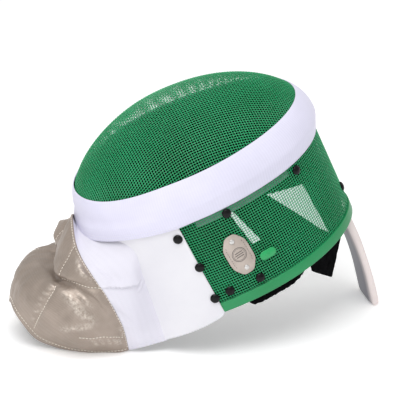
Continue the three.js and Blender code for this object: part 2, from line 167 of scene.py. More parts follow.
@dataclass(frozen=True)
class MaskForm:
    """The mask's driving dimensions, in metres, and the surfaces that its pieces share.

    u runs from chin to crown, v to the wearer's right and w from rear to face. Angles go round the wall
    from the crown, negative on the left, and a level is a height along w from the lower edge of the cover
    band. At the crown the face is fuller by `crown_fullness`, and the wall stands out by `crown_out` and
    more steeply by `crown_upright`. The spans are cosines of angles from the crown or from the chin,
    between which these and the chin's own changes come in.
    """

    tilt: float = math.radians(21)
    chin_radius: float = 0.135
    crown_radius: float = 0.152
    side_radius: float = 0.106
    flare: float = math.tan(math.radians(5.3))
    rear_level: float = -0.115
    chin_rear_level: float = -0.034
    seam_level: float = 0.021
    seam_flange: float = 0.0065
    dome_height: float = 0.0855
    dome_growth: float = 0.006
    chin_loss: float = 0.004
    plan_power: float = 1.7
    rise_power: float = 1.95
    crown_fullness: float = 0.0065
    crown_out: float = 0.0025
    crown_upright: float = 0.055
    crown_span: Pair = (0.3, 1.0)
    neck_span: Pair = (0.35, 0.8)
    taper_span: Pair = (0.2, 0.95)
    hem_reach: float = 0.217
    table_drop: float = 0.1786

    @property
    def origin(self) -> Points:
        """Middle of the cover band's lower edge, in the frame."""
        lowest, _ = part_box("bib_conductive")
        return np.array([lowest.x + self.hem_reach, 0.0, self.table_drop])

    def rest(self, points: Sequence) -> Points:
        """Given points, in millimetres from the origin, as points of the frame."""
        return np.asarray(points, float) * MM + self.origin

    def place(self, u: Points, v: Points, w: Points) -> Points:
        """Points of the mask's own axes, in the frame.

        Args:
            u: from chin to crown.
            v: to the wearer's right.
            w: from rear to face.

        Returns:
            Points with a last axis of three.
        """
        x = u * math.cos(self.tilt) - w * math.sin(self.tilt)
        z = u * math.sin(self.tilt) + w * math.cos(self.tilt)
        return np.stack(np.broadcast_arrays(x, v, z), -1) + self.origin

    def wall_plan(self, angle: Points, level: Points, offset: Points) -> tuple[Points, Points]:
        """Plan of the wall.

        Args:
            angle: round the wall from the crown, in radians.
            level: height along w.
            offset: how far out from the middle of the wires.

        Returns:
            u and v.
        """
        c, s = np.cos(angle), np.sin(angle)
        length = np.where(c > 0, self.crown_radius, self.chin_radius)
        nu, nv = c / length, s / self.side_radius
        size = np.hypot(nu, nv)
        crown = smooth_step(c, *self.crown_span)
        out = offset - self.flare * level + crown * (self.crown_out + self.crown_upright * level)
        return length * c + out * nu / size, self.side_radius * s + out * nv / size

    def wall(self, angle: Points, level: Points, offset: Points = 0.0) -> Points:
        """Point of the wall, in the frame."""
        u, v = self.wall_plan(angle, level, offset)
        return self.place(u, v, level)

    def wall_frame(self, degrees: float, level: float, standoff: float) -> Matrix:
        """Seat of a fitting on the wall: X round the wall, Y up the wall and Z outwards.

        Args:
            degrees: its angle round the wall.
            level: its height along w.
            standoff: how far out from the middle of the wires.

        Returns:
            The matrix that carries a fitting there.
        """
        angle, tick = math.radians(degrees), 0.01
        at = [self.wall(angle, level, standoff)]
        at += [self.wall(angle + k * tick, level, standoff) for k in (-1, 1)]
        at += [self.wall(angle, level + k * MM, standoff) for k in (-1, 1)]
        spot, back, front, low, high = (Vector(p) for p in at)
        up = (high - low).normalized()
        normal = (front - back).cross(up).normalized()
        return Matrix.Translation(spot) @ Matrix((up.cross(normal), up, normal)).transposed().to_4x4()

    def rear(self, angle: Points) -> Points:
        """Level of the wall's rear edge, which rises towards the chin for the neck."""
        rise = smooth_step(-np.cos(angle), *self.neck_span)
        return self.rear_level + (self.chin_rear_level - self.rear_level) * rise

    def chin_taper(self, angle: Points) -> Points:
        """How much less the seam stands out from the wall at the chin than round the sides."""
        return self.chin_loss * smooth_step(-np.cos(angle), *self.taper_span)

    def edge_radius(self, direction: Points) -> Points:
        """Radius of the face's edge in its plan.

        Args:
            direction: angle from the crown's direction, in radians.

        Returns:
            The radius in each direction.
        """
        angle = np.linspace(-math.pi, math.pi, 2049)
        u, v = self.wall_plan(angle, self.seam_level, self.dome_growth - self.chin_taper(angle))
        return np.interp(direction, np.arctan2(v, u)[1:-1], np.hypot(u, v)[1:-1])

    def dome_level(self, u: Points, v: Points) -> Points:
        """Level of the face above its plan.

        Args:
            u: from chin to crown.
            v: to the wearer's right.

        Returns:
            The level above each point.
        """
        reach = np.hypot(u, v) / self.edge_radius(np.arctan2(v, u))
        rise = np.maximum(0, 1 - reach**self.plan_power) ** (1 / self.rise_power)
        lean = self.crown_fullness * (u / self.crown_radius) * np.maximum(0, 1 - reach**2)
        return self.seam_level + self.dome_height * rise + lean

    def dome_reach(self, level: Points) -> Points:
        """Share of the way from the face's top to its edge at a level of its side."""
        rise = np.maximum(0, level - self.seam_level) / self.dome_height
        return np.maximum(0, 1 - rise**self.rise_power) ** (1 / self.plan_power)


FORM = MaskForm()


# ------------------------------------------------------------------ meshes


class Shape:
    """Points and faces gathered for one mesh, with cloth coordinates and a shine value at each point: the
    painted light that some finishes turn into painted highlight or painted shade.
    """

    def __init__(self) -> None:
        """Starts with nothing in it."""
        self.points: list[Points] = []
        self.weave: list[Points] = []
        self.shine: list[Points] = []
        self.faces: list[list[int]] = []
        self.size = 0

    def add(self, points: Points, weave: Points | None = None, shine: Points | None = None) -> Points:
        """Adds points.

        Args:
            points: grid or row of points.
            weave: place in the flat cloth of each point, in metres.
            shine: painted light at each point, from 0 to 1: how strong a painted highlight is there, or how
                free of painted shade.

        Returns:
            The index of each point, in the same layout.
        """
        count = points[..., 0].size
        index = self.size + np.arange(count).reshape(points.shape[:-1])
        self.points.append(points.reshape(-1, 3))
        self.weave.append(np.zeros((count, 3)) if weave is None else weave.reshape(-1, 3))
        self.shine.append(np.zeros(count) if shine is None else shine.ravel())
        self.size += count
        return index

    def skin(self, index: Points, round_rows: bool = False, round_columns: bool = False) -> None:
        """Faces over a grid of indices.

        Args:
            index: the grid of point indices.
            round_rows: whether its last row joins its first.
            round_columns: whether its last column joins its first.
        """
        if round_rows:
            index = np.concatenate([index, index[:1]], 0)
        if round_columns:
            index = np.concatenate([index, index[:, :1]], 1)
        quads = np.stack([index[:-1, :-1], index[1:, :-1], index[1:, 1:], index[:-1, 1:]], -1)
        self.faces += quads.reshape(-1, 4).tolist()

    def slab(self, outer: Points, inner: Points, bulge: float, weave: Points | None = None,
             shine: Points | None = None) -> None:
        """Sheet between two grids, with a rounded rim.

        Args:
            outer: grid of points of one face.
            inner: grid of the same layout for the other face.
            bulge: how far the rim stands out, in metres.
            weave: place in the flat cloth of each point.
            shine: painted light at each point, as in add.
        """
        top, low = self.add(outer, weave, shine), self.add(inner, weave, shine)
        self.skin(top)
        self.skin(low[::-1])
        rows, columns = outer.shape[:2]
        border = [(0, j) for j in range(columns)] + [(i, columns - 1) for i in range(1, rows)]
        border += [(rows - 1, j) for j in range(columns - 2, -1, -1)]
        border += [(i, 0) for i in range(rows - 2, 0, -1)]
        i, j = np.array(border).T
        middle = (outer[i, j] + inner[i, j]) / 2
        within = (i.clip(1, rows - 2), j.clip(1, columns - 2))
        away = unit(middle - (outer[within] + inner[within]) / 2)
        rim = self.add(middle + away * bulge, None if weave is None else weave[i, j])
        self.skin(np.stack([top[i, j], rim, low[i, j]]), round_columns=True)

    def tube(self, path: Points, normals: Points, radius: float, sides: int = 4, ring: bool = False,
             flat: float = 1.0) -> None:
        """Round bar along a path.

        Args:
            path: points of its centreline.
            normals: a direction across it at each point.
            radius: its radius, in metres.
            sides: sides of its section.
            ring: whether its end meets its start.
            flat: its thickness along the normals as a share of its width.
        """
        if ring:
            along = unit(np.roll(path, -1, 0) - np.roll(path, 1, 0))
        else:
            along = unit(np.gradient(path, axis=0))
        across = unit(np.cross(along, normals))
        lift = np.cross(across, along)
        turn = (np.arange(sides) + 0.5) * 2 * math.pi / sides
        rings = path[:, None] + radius * (
            np.cos(turn)[:, None] * across[:, None] + flat * np.sin(turn)[:, None] * lift[:, None])
        # outward value of each point, 1 outside and 0 inside, stored as shine: finishes paint it as light, a
        # painted shade on the side facing in and, on the lame, a painted highlight on the side facing out
        outwards = np.broadcast_to(0.5 + 0.5 * np.sin(turn), rings.shape[:2])
        index = self.add(rings, shine=outwards)
        self.skin(index, round_rows=ring, round_columns=True)
        if not ring:
            self.faces += [index[0][::-1].tolist(), index[-1].tolist()]

    def stitches(self, path: Points, normals: Points, kind: Stitch) -> None:
        """Row of short raised threads on a surface.

        Args:
            path: line along the surface.
            normals: the surface's normal at each of its points.
            kind: which stitches.
        """
        length, gap, radius = (x * MM for x in kind.value)
        run = run_length(path)
        starts = np.arange(gap, run[-1] - length, length + gap)
        share = np.array([0.0, 0.25, 0.75, 1.0])
        lift = np.array([-0.5, 0.75, 0.75, -0.5]) * radius
        for start in starts:
            at = start + share * length
            spot = np.stack([np.interp(at, run, path[:, k]) for k in range(3)], 1)
            normal = unit(np.stack([np.interp(at, run, normals[:, k]) for k in range(3)], 1))
            self.tube(spot + normal * lift[:, None], normal, radius, sides=5)

    def lathe(self, profile: Sequence[Pair], matrix: Matrix, sides: int = 32) -> None:
        """Turned form about a matrix's Z axis.

        Args:
            profile: (radius, height) pairs that start and end on the axis.
            matrix: carries the form to its place.
            sides: steps round the axis.
        """
        turn = np.arange(sides) * 2 * math.pi / sides
        radius, height = np.array(profile[1:-1]).T
        rings = np.stack([np.outer(radius, np.cos(turn)), np.outer(radius, np.sin(turn)),
                          np.repeat(height[:, None], sides, 1)], -1)
        index = self.add(moved(rings, matrix))
        self.skin(index, round_columns=True)
        for end, ring in ((profile[0], index[0]), (profile[-1], index[-1][::-1])):
            tip = int(self.add(moved(np.array([[0.0, 0.0, end[1]]]), matrix))[0])
            self.faces += [[tip, a, b] for a, b in zip(np.roll(ring, -1).tolist(), ring.tolist())]

    def plate(self, outline: Points, layers: Sequence[Pair], matrix: Matrix) -> None:
        """Flat plate.

        Args:
            outline: its outline about its centre.
            layers: (inset, height) of each layer, from its back to its front.
            matrix: carries the plate to its place.
        """
        centre_out = unit(np.concatenate([outline, np.zeros((len(outline), 1))], 1))
        rings = [np.concatenate([outline, np.full((len(outline), 1), height)], 1) - centre_out * inset
                 for inset, height in layers]
        index = self.add(moved(np.stack(rings), matrix))
        self.skin(index, round_columns=True)
        self.faces += [index[0][::-1].tolist(), index[-1].tolist()]

    def build(self, name: str, finish: "Finish") -> bpy.types.Object:
        """Smooth mesh object of everything gathered.

        Args:
            name: the piece's name.
            finish: its finish.

        Returns:
            The object, in the scene.
        """
        mesh = bpy.data.meshes.new(name)
        mesh.from_pydata(np.concatenate(self.points).tolist(), [], self.faces)
        weave = mesh.attributes.new("weave", "FLOAT_VECTOR", "POINT")
        weave.data.foreach_set("vector", np.concatenate(self.weave).astype(np.float32).ravel())
        shine = mesh.attributes.new("shine", "FLOAT", "POINT")
        shine.data.foreach_set("value", np.concatenate(self.shine).astype(np.float32))
        work = bmesh.new()
        work.from_mesh(mesh)
        bmesh.ops.recalc_face_normals(work, faces=work.faces)
        for face in work.faces:
            face.smooth = True
        work.to_mesh(mesh)
        work.free()
        mesh.materials.append(finish.material())
        piece = bpy.data.objects.new(name, mesh)
        bpy.context.scene.collection.objects.link(piece)
        return piece


def moved(points: Points, matrix: Matrix) -> Points:
    """Points carried by a matrix."""
    m = np.array(matrix)
    return points @ m[:3, :3].T + m[:3, 3]


def fitted(piece: bpy.types.Object, slot: str, *nodes: str) -> bpy.types.Object:
    """Fastens a piece to the mask's one body in place of CAD nodes, and reports it.

    Args:
        piece: the finished piece.
        slot: material slot of the record.
        nodes: CAD nodes that it stands for.

    Returns:
        The piece.
    """
    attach(piece, "root")
    if nodes:
        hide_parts(*nodes)
    LOG.info("%s: %d faces, slot %s", piece.name, len(piece.data.polygons), slot)
    return piece


# ------------------------------------------------------------------ finishes

WAVE_TURNS = 20  # a wave texture of scale 1 turns through 20 radians in a metre, and a thread takes pi


def linear(hex_colour: str) -> tuple[float, float, float, float]:
    """sRGB hex colour as linear RGBA."""
    channels = [int(hex_colour[k:k + 2], 16) / 255 for k in (1, 3, 5)]
    return (*[c / 12.92 if c <= 0.04045 else ((c + 0.055) / 1.055) ** 2.4 for c in channels], 1.0)


def add_node(tree: bpy.types.NodeTree, kind: str, inputs: dict | None = None, **settings) -> bpy.types.Node:
    """Adds a node.

    Args:
        tree: the material's node tree.
        kind: node type name without "ShaderNode".
        inputs: socket name or number to a value, or to an output that is linked to it.
        settings: properties of the node.

    Returns:
        The node.
    """
    node = tree.nodes.new("ShaderNode" + kind)
    for key, value in settings.items():
        setattr(node, key, value)
    for key, value in (inputs or {}).items():
        if isinstance(value, bpy.types.NodeSocket):
            tree.links.new(value, node.inputs[key])
        else:
            node.inputs[key].default_value = value
    return node


@dataclass(frozen=True)
class Finish:
    """A finish with a main and a second colour, an uneven blend of the two and a fine relief."""

    name: str
    colour: str
    second: str
    roughness: float
    patch_mm: float = 30.0
    grain_mm: float = 1.5
    grain_depth_mm: float = 0.1
    metallic: float = 0.0
    sheen: float = 0.0
    coat: float = 0.0
    ior: float = 1.5
    glow: float = 0.0

    def patches(self, tree: bpy.types.NodeTree, where: bpy.types.NodeSocket) -> bpy.types.NodeSocket:
        """Colour that drifts between the two colours.

        Args:
            tree: the material's node tree.
            where: output with the place on the piece.

        Returns:
            Output with the colour.
        """
        noise = add_node(tree, "TexNoise", {"Vector": where, "Scale": 1 / (self.patch_mm * MM),
                                            "Detail": 4.0})
        ramp = add_node(tree, "MapRange", {"Value": noise.outputs["Fac"], "From Min": 0.35, "From Max": 0.65})
        mix = add_node(tree, "Mix", {"Factor": ramp.outputs["Result"], 6: linear(self.colour),
                                     7: linear(self.second)}, data_type="RGBA")
        return mix.outputs[2]

    def relief(self, tree: bpy.types.NodeTree, where: bpy.types.NodeSocket) -> bpy.types.NodeSocket:
        """Fine relief.

        Args:
            tree: the material's node tree.
            where: output with the place on the piece.

        Returns:
            Output with its height, from 0 to 1.
        """
        noise = add_node(tree, "TexNoise", {"Vector": where, "Scale": 1 / (self.grain_mm * MM),
                                            "Detail": 3.0})
        return noise.outputs["Fac"]

    def dress(self, tree: bpy.types.NodeTree, shader: bpy.types.Node, where: bpy.types.NodeSocket) -> None:
        """Links the colour and the relief to the shader.

        Args:
            tree: the material's node tree.
            shader: its Principled shader.
            where: output with the place on the piece.
        """
        tree.links.new(self.patches(tree, where), shader.inputs["Base Color"])
        bump = add_node(tree, "Bump", {"Height": self.relief(tree, where), "Strength": 1.0,
                                       "Distance": self.grain_depth_mm * MM})
        tree.links.new(bump.outputs["Normal"], shader.inputs["Normal"])

    def material(self) -> bpy.types.Material:
        """The finish's material, made once.

        Returns:
            The material.
        """
        made = bpy.data.materials.get(self.name)
        if made:
            return made
        made = bpy.data.materials.new(self.name)
        made.use_nodes = True
        tree = made.node_tree
        shader = tree.nodes["Principled BSDF"]
        shader.inputs["Roughness"].default_value = self.roughness
        shader.inputs["Metallic"].default_value = self.metallic
        shader.inputs["Coat Weight"].default_value = self.coat
        shader.inputs["Coat Roughness"].default_value = 0.15
        shader.inputs["Sheen Weight"].default_value = self.sheen
        shader.inputs["Sheen Roughness"].default_value = 0.4
        shader.inputs["Emission Color"].default_value = linear(self.colour)
        shader.inputs["Emission Strength"].default_value = self.glow
        if not self.metallic:
            shader.inputs["IOR"].default_value = self.ior
        self.dress(tree, shader, add_node(tree, "TexCoord").outputs["Object"])
        return made


@dataclass(frozen=True)
class PaintedInwardShadeFinish(Finish):
    """Finish with a painted shade on the side that faces into the mask.

    Between the two outward values of `turn` it goes over from its painted shade, the `inner` colour, to its
    own colours.
    """

    # painted shade: the colour of the side that faces into the mask
    inner: str = "#04140C"
    turn: Pair = (0.25, 0.6)

    def dress(self, tree: bpy.types.NodeTree, shader: bpy.types.Node, where: bpy.types.NodeSocket) -> None:
        """Mixes the finish with its painted inner shade by the mesh's outward value.

        Args:
            tree: the material's node tree.
            shader: its Principled shader.
            where: output with the place on the piece.
        """
        super().dress(tree, shader, where)
        outwards = add_node(tree, "Attribute", attribute_name="shine").outputs["Fac"]
        low, high = self.turn
        turn = add_node(tree, "MapRange", {"Value": outwards, "From Min": low, "From Max": high})
        mix = add_node(tree, "Mix", {"Factor": turn.outputs["Result"], 6: linear(self.inner),
                                     7: shader.inputs["Base Color"].links[0].from_socket}, data_type="RGBA")
        tree.links.new(mix.outputs[2], shader.inputs["Base Color"])


@dataclass(frozen=True)
class WovenFinish(Finish):
    """Cloth whose relief is two crossed sets of threads, laid by the cloth's own coordinates."""

    warp_mm: float = 1.2
    weft_mm: float = 1.2
    weft_share: float = 0.5
    thread_tint: float = 0.08

    def threads(self, tree: bpy.types.NodeTree) -> bpy.types.NodeSocket:
        """Crossed threads.

        Args:
            tree: the material's node tree.

        Returns:
            Output with their height, from 0 to 1.
        """
        cloth = add_node(tree, "Attribute", attribute_name="weave").outputs["Vector"]
        waves = []
        for axis, pitch in (("X", self.warp_mm), ("Y", self.weft_mm)):
            wave = add_node(tree, "TexWave", {"Vector": cloth, "Scale": math.pi / (WAVE_TURNS * pitch * MM),
                                              "Distortion": 0.6, "Detail": 1.0, "Detail Scale": 2.0},
                            bands_direction=axis)
            waves.append(wave.outputs["Fac"])
        return add_node(tree, "Mix", {"Factor": self.weft_share, 2: waves[0], 3: waves[1]}).outputs[0]

    def dress(self, tree: bpy.types.NodeTree, shader: bpy.types.Node, where: bpy.types.NodeSocket) -> None:
        """Links the colour, darker between the threads, and the threads' relief to the shader.

        Args:
            tree: the material's node tree.
            shader: its Principled shader.
            where: output with the place on the piece.
        """
        threads = self.threads(tree)
        shade = add_node(tree, "MapRange", {"Value": threads, "To Min": 1 - self.thread_tint, "To Max": 1.0})
        tint = add_node(tree, "Mix", {"Factor": 1.0, 6: self.patches(tree, where),
                                      7: shade.outputs["Result"]}, data_type="RGBA", blend_type="MULTIPLY")
        tree.links.new(tint.outputs[2], shader.inputs["Base Color"])
        fuzz = add_node(tree, "Math", {0: self.relief(tree, where), 1: 0.35, 2: threads},
                        operation="MULTIPLY_ADD")
        bump = add_node(tree, "Bump", {"Height": fuzz.outputs[0], "Strength": 1.0,
                                       "Distance": self.grain_depth_mm * MM})
        tree.links.new(bump.outputs["Normal"], shader.inputs["Normal"])


@dataclass(frozen=True)
class LameFinish(WovenFinish):
    """Woven cloth with steel in its yarn: glossier and paler where its shine value is high; the paler colour
    is a painted highlight.
    """

    # painted highlight: the paler colour where the shine value is high
    painted_highlight: str = "#E9DFD3"
    polished_roughness: float = 0.34
    streak_scale: float = 260.0

    def dress(self, tree: bpy.types.NodeTree, shader: bpy.types.Node, where: bpy.types.NodeSocket) -> None:
        """Adds streaks of gloss and painted highlight to the woven cloth.

        Args:
            tree: the material's node tree.
            shader: its Principled shader.
            where: output with the place on the piece.
        """
        super().dress(tree, shader, where)
        shine = add_node(tree, "Attribute", attribute_name="shine").outputs["Fac"]
        streaks = add_node(tree, "TexNoise", {"Vector": where, "Scale": self.streak_scale, "Detail": 5.0,
                                              "Roughness": 0.7})
        broken = add_node(tree, "MapRange", {"Value": streaks.outputs["Fac"], "From Min": 0.4,
                                             "From Max": 0.72})
        gloss_and_painted_highlight = add_node(tree, "Math", {0: shine, 1: broken.outputs["Result"]}, operation="MULTIPLY")
        cloth = shader.inputs["Base Color"].links[0].from_socket
        mix = add_node(tree, "Mix", {"Factor": gloss_and_painted_highlight.outputs[0], 6: cloth, 7: linear(self.painted_highlight)},
                       data_type="RGBA")
        tree.links.new(mix.outputs[2], shader.inputs["Base Color"])
        rough = add_node(tree, "MapRange", {"Value": gloss_and_painted_highlight.outputs[0], "To Min": self.roughness,
                                            "To Max": self.polished_roughness})
        tree.links.new(rough.outputs["Result"], shader.inputs["Roughness"])


# Steel wire, powder coated: a smooth satin green with slight orange peel, so each wire has a soft highlight.
# The side that faces into the mask is a deep green: painted shade.
WIRE_PAINT = PaintedInwardShadeFinish("powder_coated_steel_wire", "#14A163", "#1FAF70", 0.34, patch_mm=60,
                            grain_mm=0.6, grain_depth_mm=0.02, coat=0.12)
# Polyester knit, tightly ribbed across the band: cool white, with fine ribs at twice their real spacing.
BAND_KNIT = WovenFinish("ribbed_polyester_knit", "#DAD8EB", "#DFDDF0", 0.85, patch_mm=45, grain_depth_mm=0.07,
                        sheen=0.25, warp_mm=1.5, weft_mm=4.0, weft_share=0.12, thread_tint=0.035)
# Polyurethane leather, embossed: a satin white with a fine pebble grain.
PANEL_LEATHER = Finish("embossed_polyurethane_leather", "#E2E1E6", "#DDDCE2", 0.5, patch_mm=50, grain_mm=1.1,
                       grain_depth_mm=0.05, coat=0.05)
# Polyester and cotton, plain woven and padded: soft matt white with a weave that only just shows.
BIB_CLOTH = WovenFinish("plain_woven_polycotton", "#DFDDE7", "#DAD8E3", 0.8, patch_mm=60, grain_depth_mm=0.06,
                        sheen=0.3, warp_mm=1.4, weft_mm=1.4, thread_tint=0.025)
# Lame, woven with stainless steel yarn: taupe, with broken metallic glints on its wrinkles, partly real
# metallic gloss and partly a painted highlight in the colour.
LAME = LameFinish("woven_steel_lame_painted_highlights", "#A99B90", "#9D9085", 0.46, patch_mm=22, grain_depth_mm=0.09,
                  metallic=0.45, warp_mm=1.3, weft_mm=1.3, thread_tint=0.12)
# Polyester sewing thread, twisted: a pale cream with a soft gloss.
THREAD = Finish("twisted_polyester_thread", "#EFE9DF", "#E2D9CC", 0.5, patch_mm=6, grain_mm=0.5,
                grain_depth_mm=0.04)
# The same thread in white for the white cloths.
WHITE_THREAD = Finish("twisted_white_thread", "#DAD9E4", "#E6E5EE", 0.6, patch_mm=6, grain_mm=0.5,
                      grain_depth_mm=0.04)
# Nylon, injection moulded: near black with a clear but weak gloss.
STUD_NYLON = Finish("moulded_black_nylon", "#050506", "#08080A", 0.24, patch_mm=20, grain_mm=0.8,
                    grain_depth_mm=0.01, ior=1.3)
# Aluminium, stamped and lightly brushed: a warm pale grey.
PLATE_METAL = Finish("stamped_brushed_aluminium", "#BFB3AA", "#B4A89F", 0.42, patch_mm=9, grain_mm=0.7,
                     grain_depth_mm=0.02, metallic=0.35)
# Enamel filled into the plate's stamping: dark grey and slightly uneven.
PLATE_ENAMEL = Finish("stamped_grey_enamel", "#5E5A57", "#6C6763", 0.5, patch_mm=5, grain_mm=0.6,
                      grain_depth_mm=0.02)
# Aluminium, domed rivet heads: brighter and smoother than the plate.
RIVET_METAL = Finish("domed_aluminium_rivet", "#D8D6D4", "#C8C6C4", 0.3, patch_mm=4, grain_mm=0.5,
                     grain_depth_mm=0.015, metallic=0.7)
# Nylon, moulded and dyed: a brighter green than the wires, with a soft gloss.
TAG_NYLON = Finish("moulded_green_nylon", "#1DA55E", "#1A9B57", 0.35, patch_mm=8, grain_mm=0.8,
                   grain_depth_mm=0.02, coat=0.1)
# PVC, extruded: an even satin green with faint streaks along it.
TRIM_PVC = Finish("extruded_green_pvc", "#0E844A", "#128A50", 0.42, patch_mm=40, grain_mm=2.0,
                  grain_depth_mm=0.03, coat=0.1)
# Velour over foam: deep black that takes nearly all light, with a short uneven pile.
VELOUR = Finish("black_velour_on_foam", "#040405", "#09090B", 1.0, patch_mm=7, grain_mm=0.9,
                grain_depth_mm=0.4, ior=1.15)
# Nylon webbing tape: mid grey with a plain weave.
TAPE = WovenFinish("woven_grey_tape", "#9EA2AA", "#8F939B", 0.8, patch_mm=15, grain_depth_mm=0.1,
                   warp_mm=1.2, weft_mm=1.2, thread_tint=0.2)
# The same webbing where it shows between the pads: nearly white, with a painted glow for the daylight that
# comes through it.
PAINTED_DAYLIGHT_TAPE = WovenFinish("woven_pale_tape_painted_daylight", "#E9ECEF", "#DDE0E4", 0.8, patch_mm=15, grain_depth_mm=0.1,
                        warp_mm=1.2, weft_mm=1.2, thread_tint=0.1, glow=0.42)
# Hook and loop tape: black and rough, with dense tiny loops.
HOOK_TAPE = Finish("black_hook_and_loop", "#040405", "#09090B", 1.0, patch_mm=6, grain_mm=0.8,
                   grain_depth_mm=0.35, ior=1.15)
# Vinyl over foam: warm off-white, satin and softly grained, with a grey painted shade on its side towards the
# head.
TONGUE_VINYL = PaintedInwardShadeFinish("padded_white_vinyl_painted_inner_shade", "#EADFDD", "#E4D8D6", 0.5, patch_mm=35, grain_mm=1.4,
                              grain_depth_mm=0.05, inner="#7E7D85", turn=(0.03, 0.16))
# Paper sweep: an even bright white.
SWEEP = Finish("matt_white_paper", "#FDFDFD", "#FAFAFB", 0.9, patch_mm=700, grain_mm=3.0, grain_depth_mm=0.02,
               glow=0.22)


# ------------------------------------------------------------------ wires


@dataclass
class WireNet:
    """Plain weave of coated steel wire."""

    pitch: float = 3.1 * MM
    radius: float = 0.43 * MM
    crimp: float = 0.38 * MM

    def weave(self, shape: Shape, grid: Points, normals: Points, there: Points, ring: bool) -> None:
        """Adds both sets of wires through a net of crossings.

        Args:
            shape: mesh to add to.
            grid: crossings, one row for each wire of the first set.
            normals: outward normals at the crossings.
            there: which crossings exist.
            ring: whether the first set's wires go all round.
        """
        rows, columns = there.shape
        sign = 1 - 2 * (np.add.outer(np.arange(rows), np.arange(columns)) % 2)
        height = (sign * self.crimp)[..., None] * normals
        for over, across in ((1, False), (-1, True)):
            spots = grid + over * height
            lines = zip(*(np.swapaxes(a, 0, 1) if across else a for a in (spots, normals, there)))
            for line, lift, real in lines:
                if ring and not across and real.all():
                    self.wire(shape, line, lift, True)
                    continue
                for run in self.runs(real):
                    self.wire(shape, line[run], lift[run], False)

    @staticmethod
    def runs(real: Points) -> list[Points]:
        """Unbroken stretches of a wire.

        Args:
            real: which of its crossings exist.

        Returns:
            The places of each stretch of at least two crossings.
        """
        places = np.flatnonzero(real)
        stretches = np.split(places, np.flatnonzero(np.diff(places) > 1) + 1)
        return [s for s in stretches if len(s) > 1]

    def wire(self, shape: Shape, line: Points, lift: Points, ring: bool) -> None:
        """Adds one wire."""
        shape.tube(line, lift, self.radius, sides=4, ring=ring)


@dataclass
class WireFace(WireNet):
    """Domed face: wires across it in parallel planes, and wires along it at equal spacing."""

    lowest_level: float = 23 * MM
    samples: int = 2000
    room_each_side: float = 2.2

    def crossings(self) -> tuple[Points, Points, Points]:
        """Net of crossings.

        Returns:
            The crossings, their normals and which exist.
        """
        sweep = np.sin(np.linspace(-math.pi / 2, math.pi / 2, 2 * self.samples + 1)) * 0.9999
        u = sweep * (FORM.crown_radius + FORM.dome_growth)
        level = FORM.dome_level(u, 0 * u)
        inside = level > self.lowest_level
        spine = np.stack([u[inside], level[inside]], 1)
        stations = evenly(spine, self.pitch)[:, 0]
        half = sweep[self.samples:] * (FORM.side_radius + FORM.dome_growth)
        count = 1 + int(self.room_each_side * FORM.side_radius / self.pitch)
        plan = np.full((len(stations), 2 * count + 1, 2), np.nan)
        for row, station in enumerate(stations):
            side_level = FORM.dome_level(np.full_like(half, station), half)
            kept = side_level > self.lowest_level
            run = run_length(np.stack([half[kept], side_level[kept]], 1))
            places = np.arange(0, run[-1], self.pitch)[:count]
            v = np.interp(places, run, half[kept])
            plan[row, count:count + len(v)] = np.stack([np.full_like(v, station), v], 1)
            plan[row, count + 1 - len(v):count + 1] = np.stack([np.full_like(v, station), -v[::-1]], 1)
        there = ~np.isnan(plan[..., 0])
        flat = np.where(there[..., None], plan, 0)
        u, v = flat[..., 0], flat[..., 1]
        return FORM.place(u, v, FORM.dome_level(u, v)), self.normals(u, v), there

    @staticmethod
    def normals(u: Points, v: Points) -> Points:
        """Outward normals of the dome.

        Args:
            u: from chin to crown.
            v: to the wearer's right.

        Returns:
            The normal above each point of the plan.
        """
        tick = 0.02 * MM
        slope_u = (FORM.dome_level(u + tick, v) - FORM.dome_level(u - tick, v)) / (2 * tick)
        slope_v = (FORM.dome_level(u, v + tick) - FORM.dome_level(u, v - tick)) / (2 * tick)
        return unit(FORM.place(-slope_u, -slope_v, np.ones_like(u)) - FORM.origin)

    def build(self) -> None:
        """Makes the face."""
        shape = Shape()
        self.weave(shape, *self.crossings(), ring=False)
        fitted(shape.build("face_wires", WIRE_PAINT), "mesh_paint", "face_mesh")


@dataclass
class WireWall(WireNet):
    """Side wall: level wires round it, and wires up it that lean a little towards the chin."""

    top_level: float = 19.2 * MM
    middle_level: float = -57 * MM
    flange_from: float = 12 * MM
    lean: float = 0.0024
    lean_from: float = 47.0
    lean_to: float = 110.0
    chin_degrees: float = 178.0

    def build(self) -> None:
        """Makes the wall."""
        levels = np.arange(FORM.rear_level + 0.5 * MM, self.top_level, self.pitch)
        fine = np.linspace(-math.pi, math.pi, 4097)
        girth = run_length(FORM.wall(fine, self.middle_level + 0 * fine))
        count = 2 * round(girth[-1] / self.pitch / 2)
        base = np.interp(np.arange(count) * girth[-1] / count, girth, fine)
        degrees = np.abs(np.degrees(base))
        slope = self.lean * (np.clip(degrees, self.lean_from, self.lean_to) - self.lean_from)
        slope *= 1 - smooth_step(degrees, self.lean_to, self.chin_degrees)
        radius = np.interp(base, fine, np.gradient(girth, fine))
        shift = np.outer(levels - self.middle_level, slope * np.sign(base) / radius)
        angle, level = base + shift, np.repeat(levels[:, None], count, 1)
        offset = FORM.seam_flange - FORM.chin_taper(angle)
        offset = offset * smooth_step(level, self.flange_from, self.top_level)
        grid = FORM.wall(angle, level, offset)
        normals = unit(FORM.wall(angle, level, offset + MM) - FORM.wall(angle, level, offset))
        shape = Shape()
        self.weave(shape, grid, normals, level > FORM.rear(angle), ring=True)
        fitted(shape.build("side_wires", WIRE_PAINT), "mesh_paint", "side_mesh")


# ------------------------------------------------------------------ cover band and rear trim


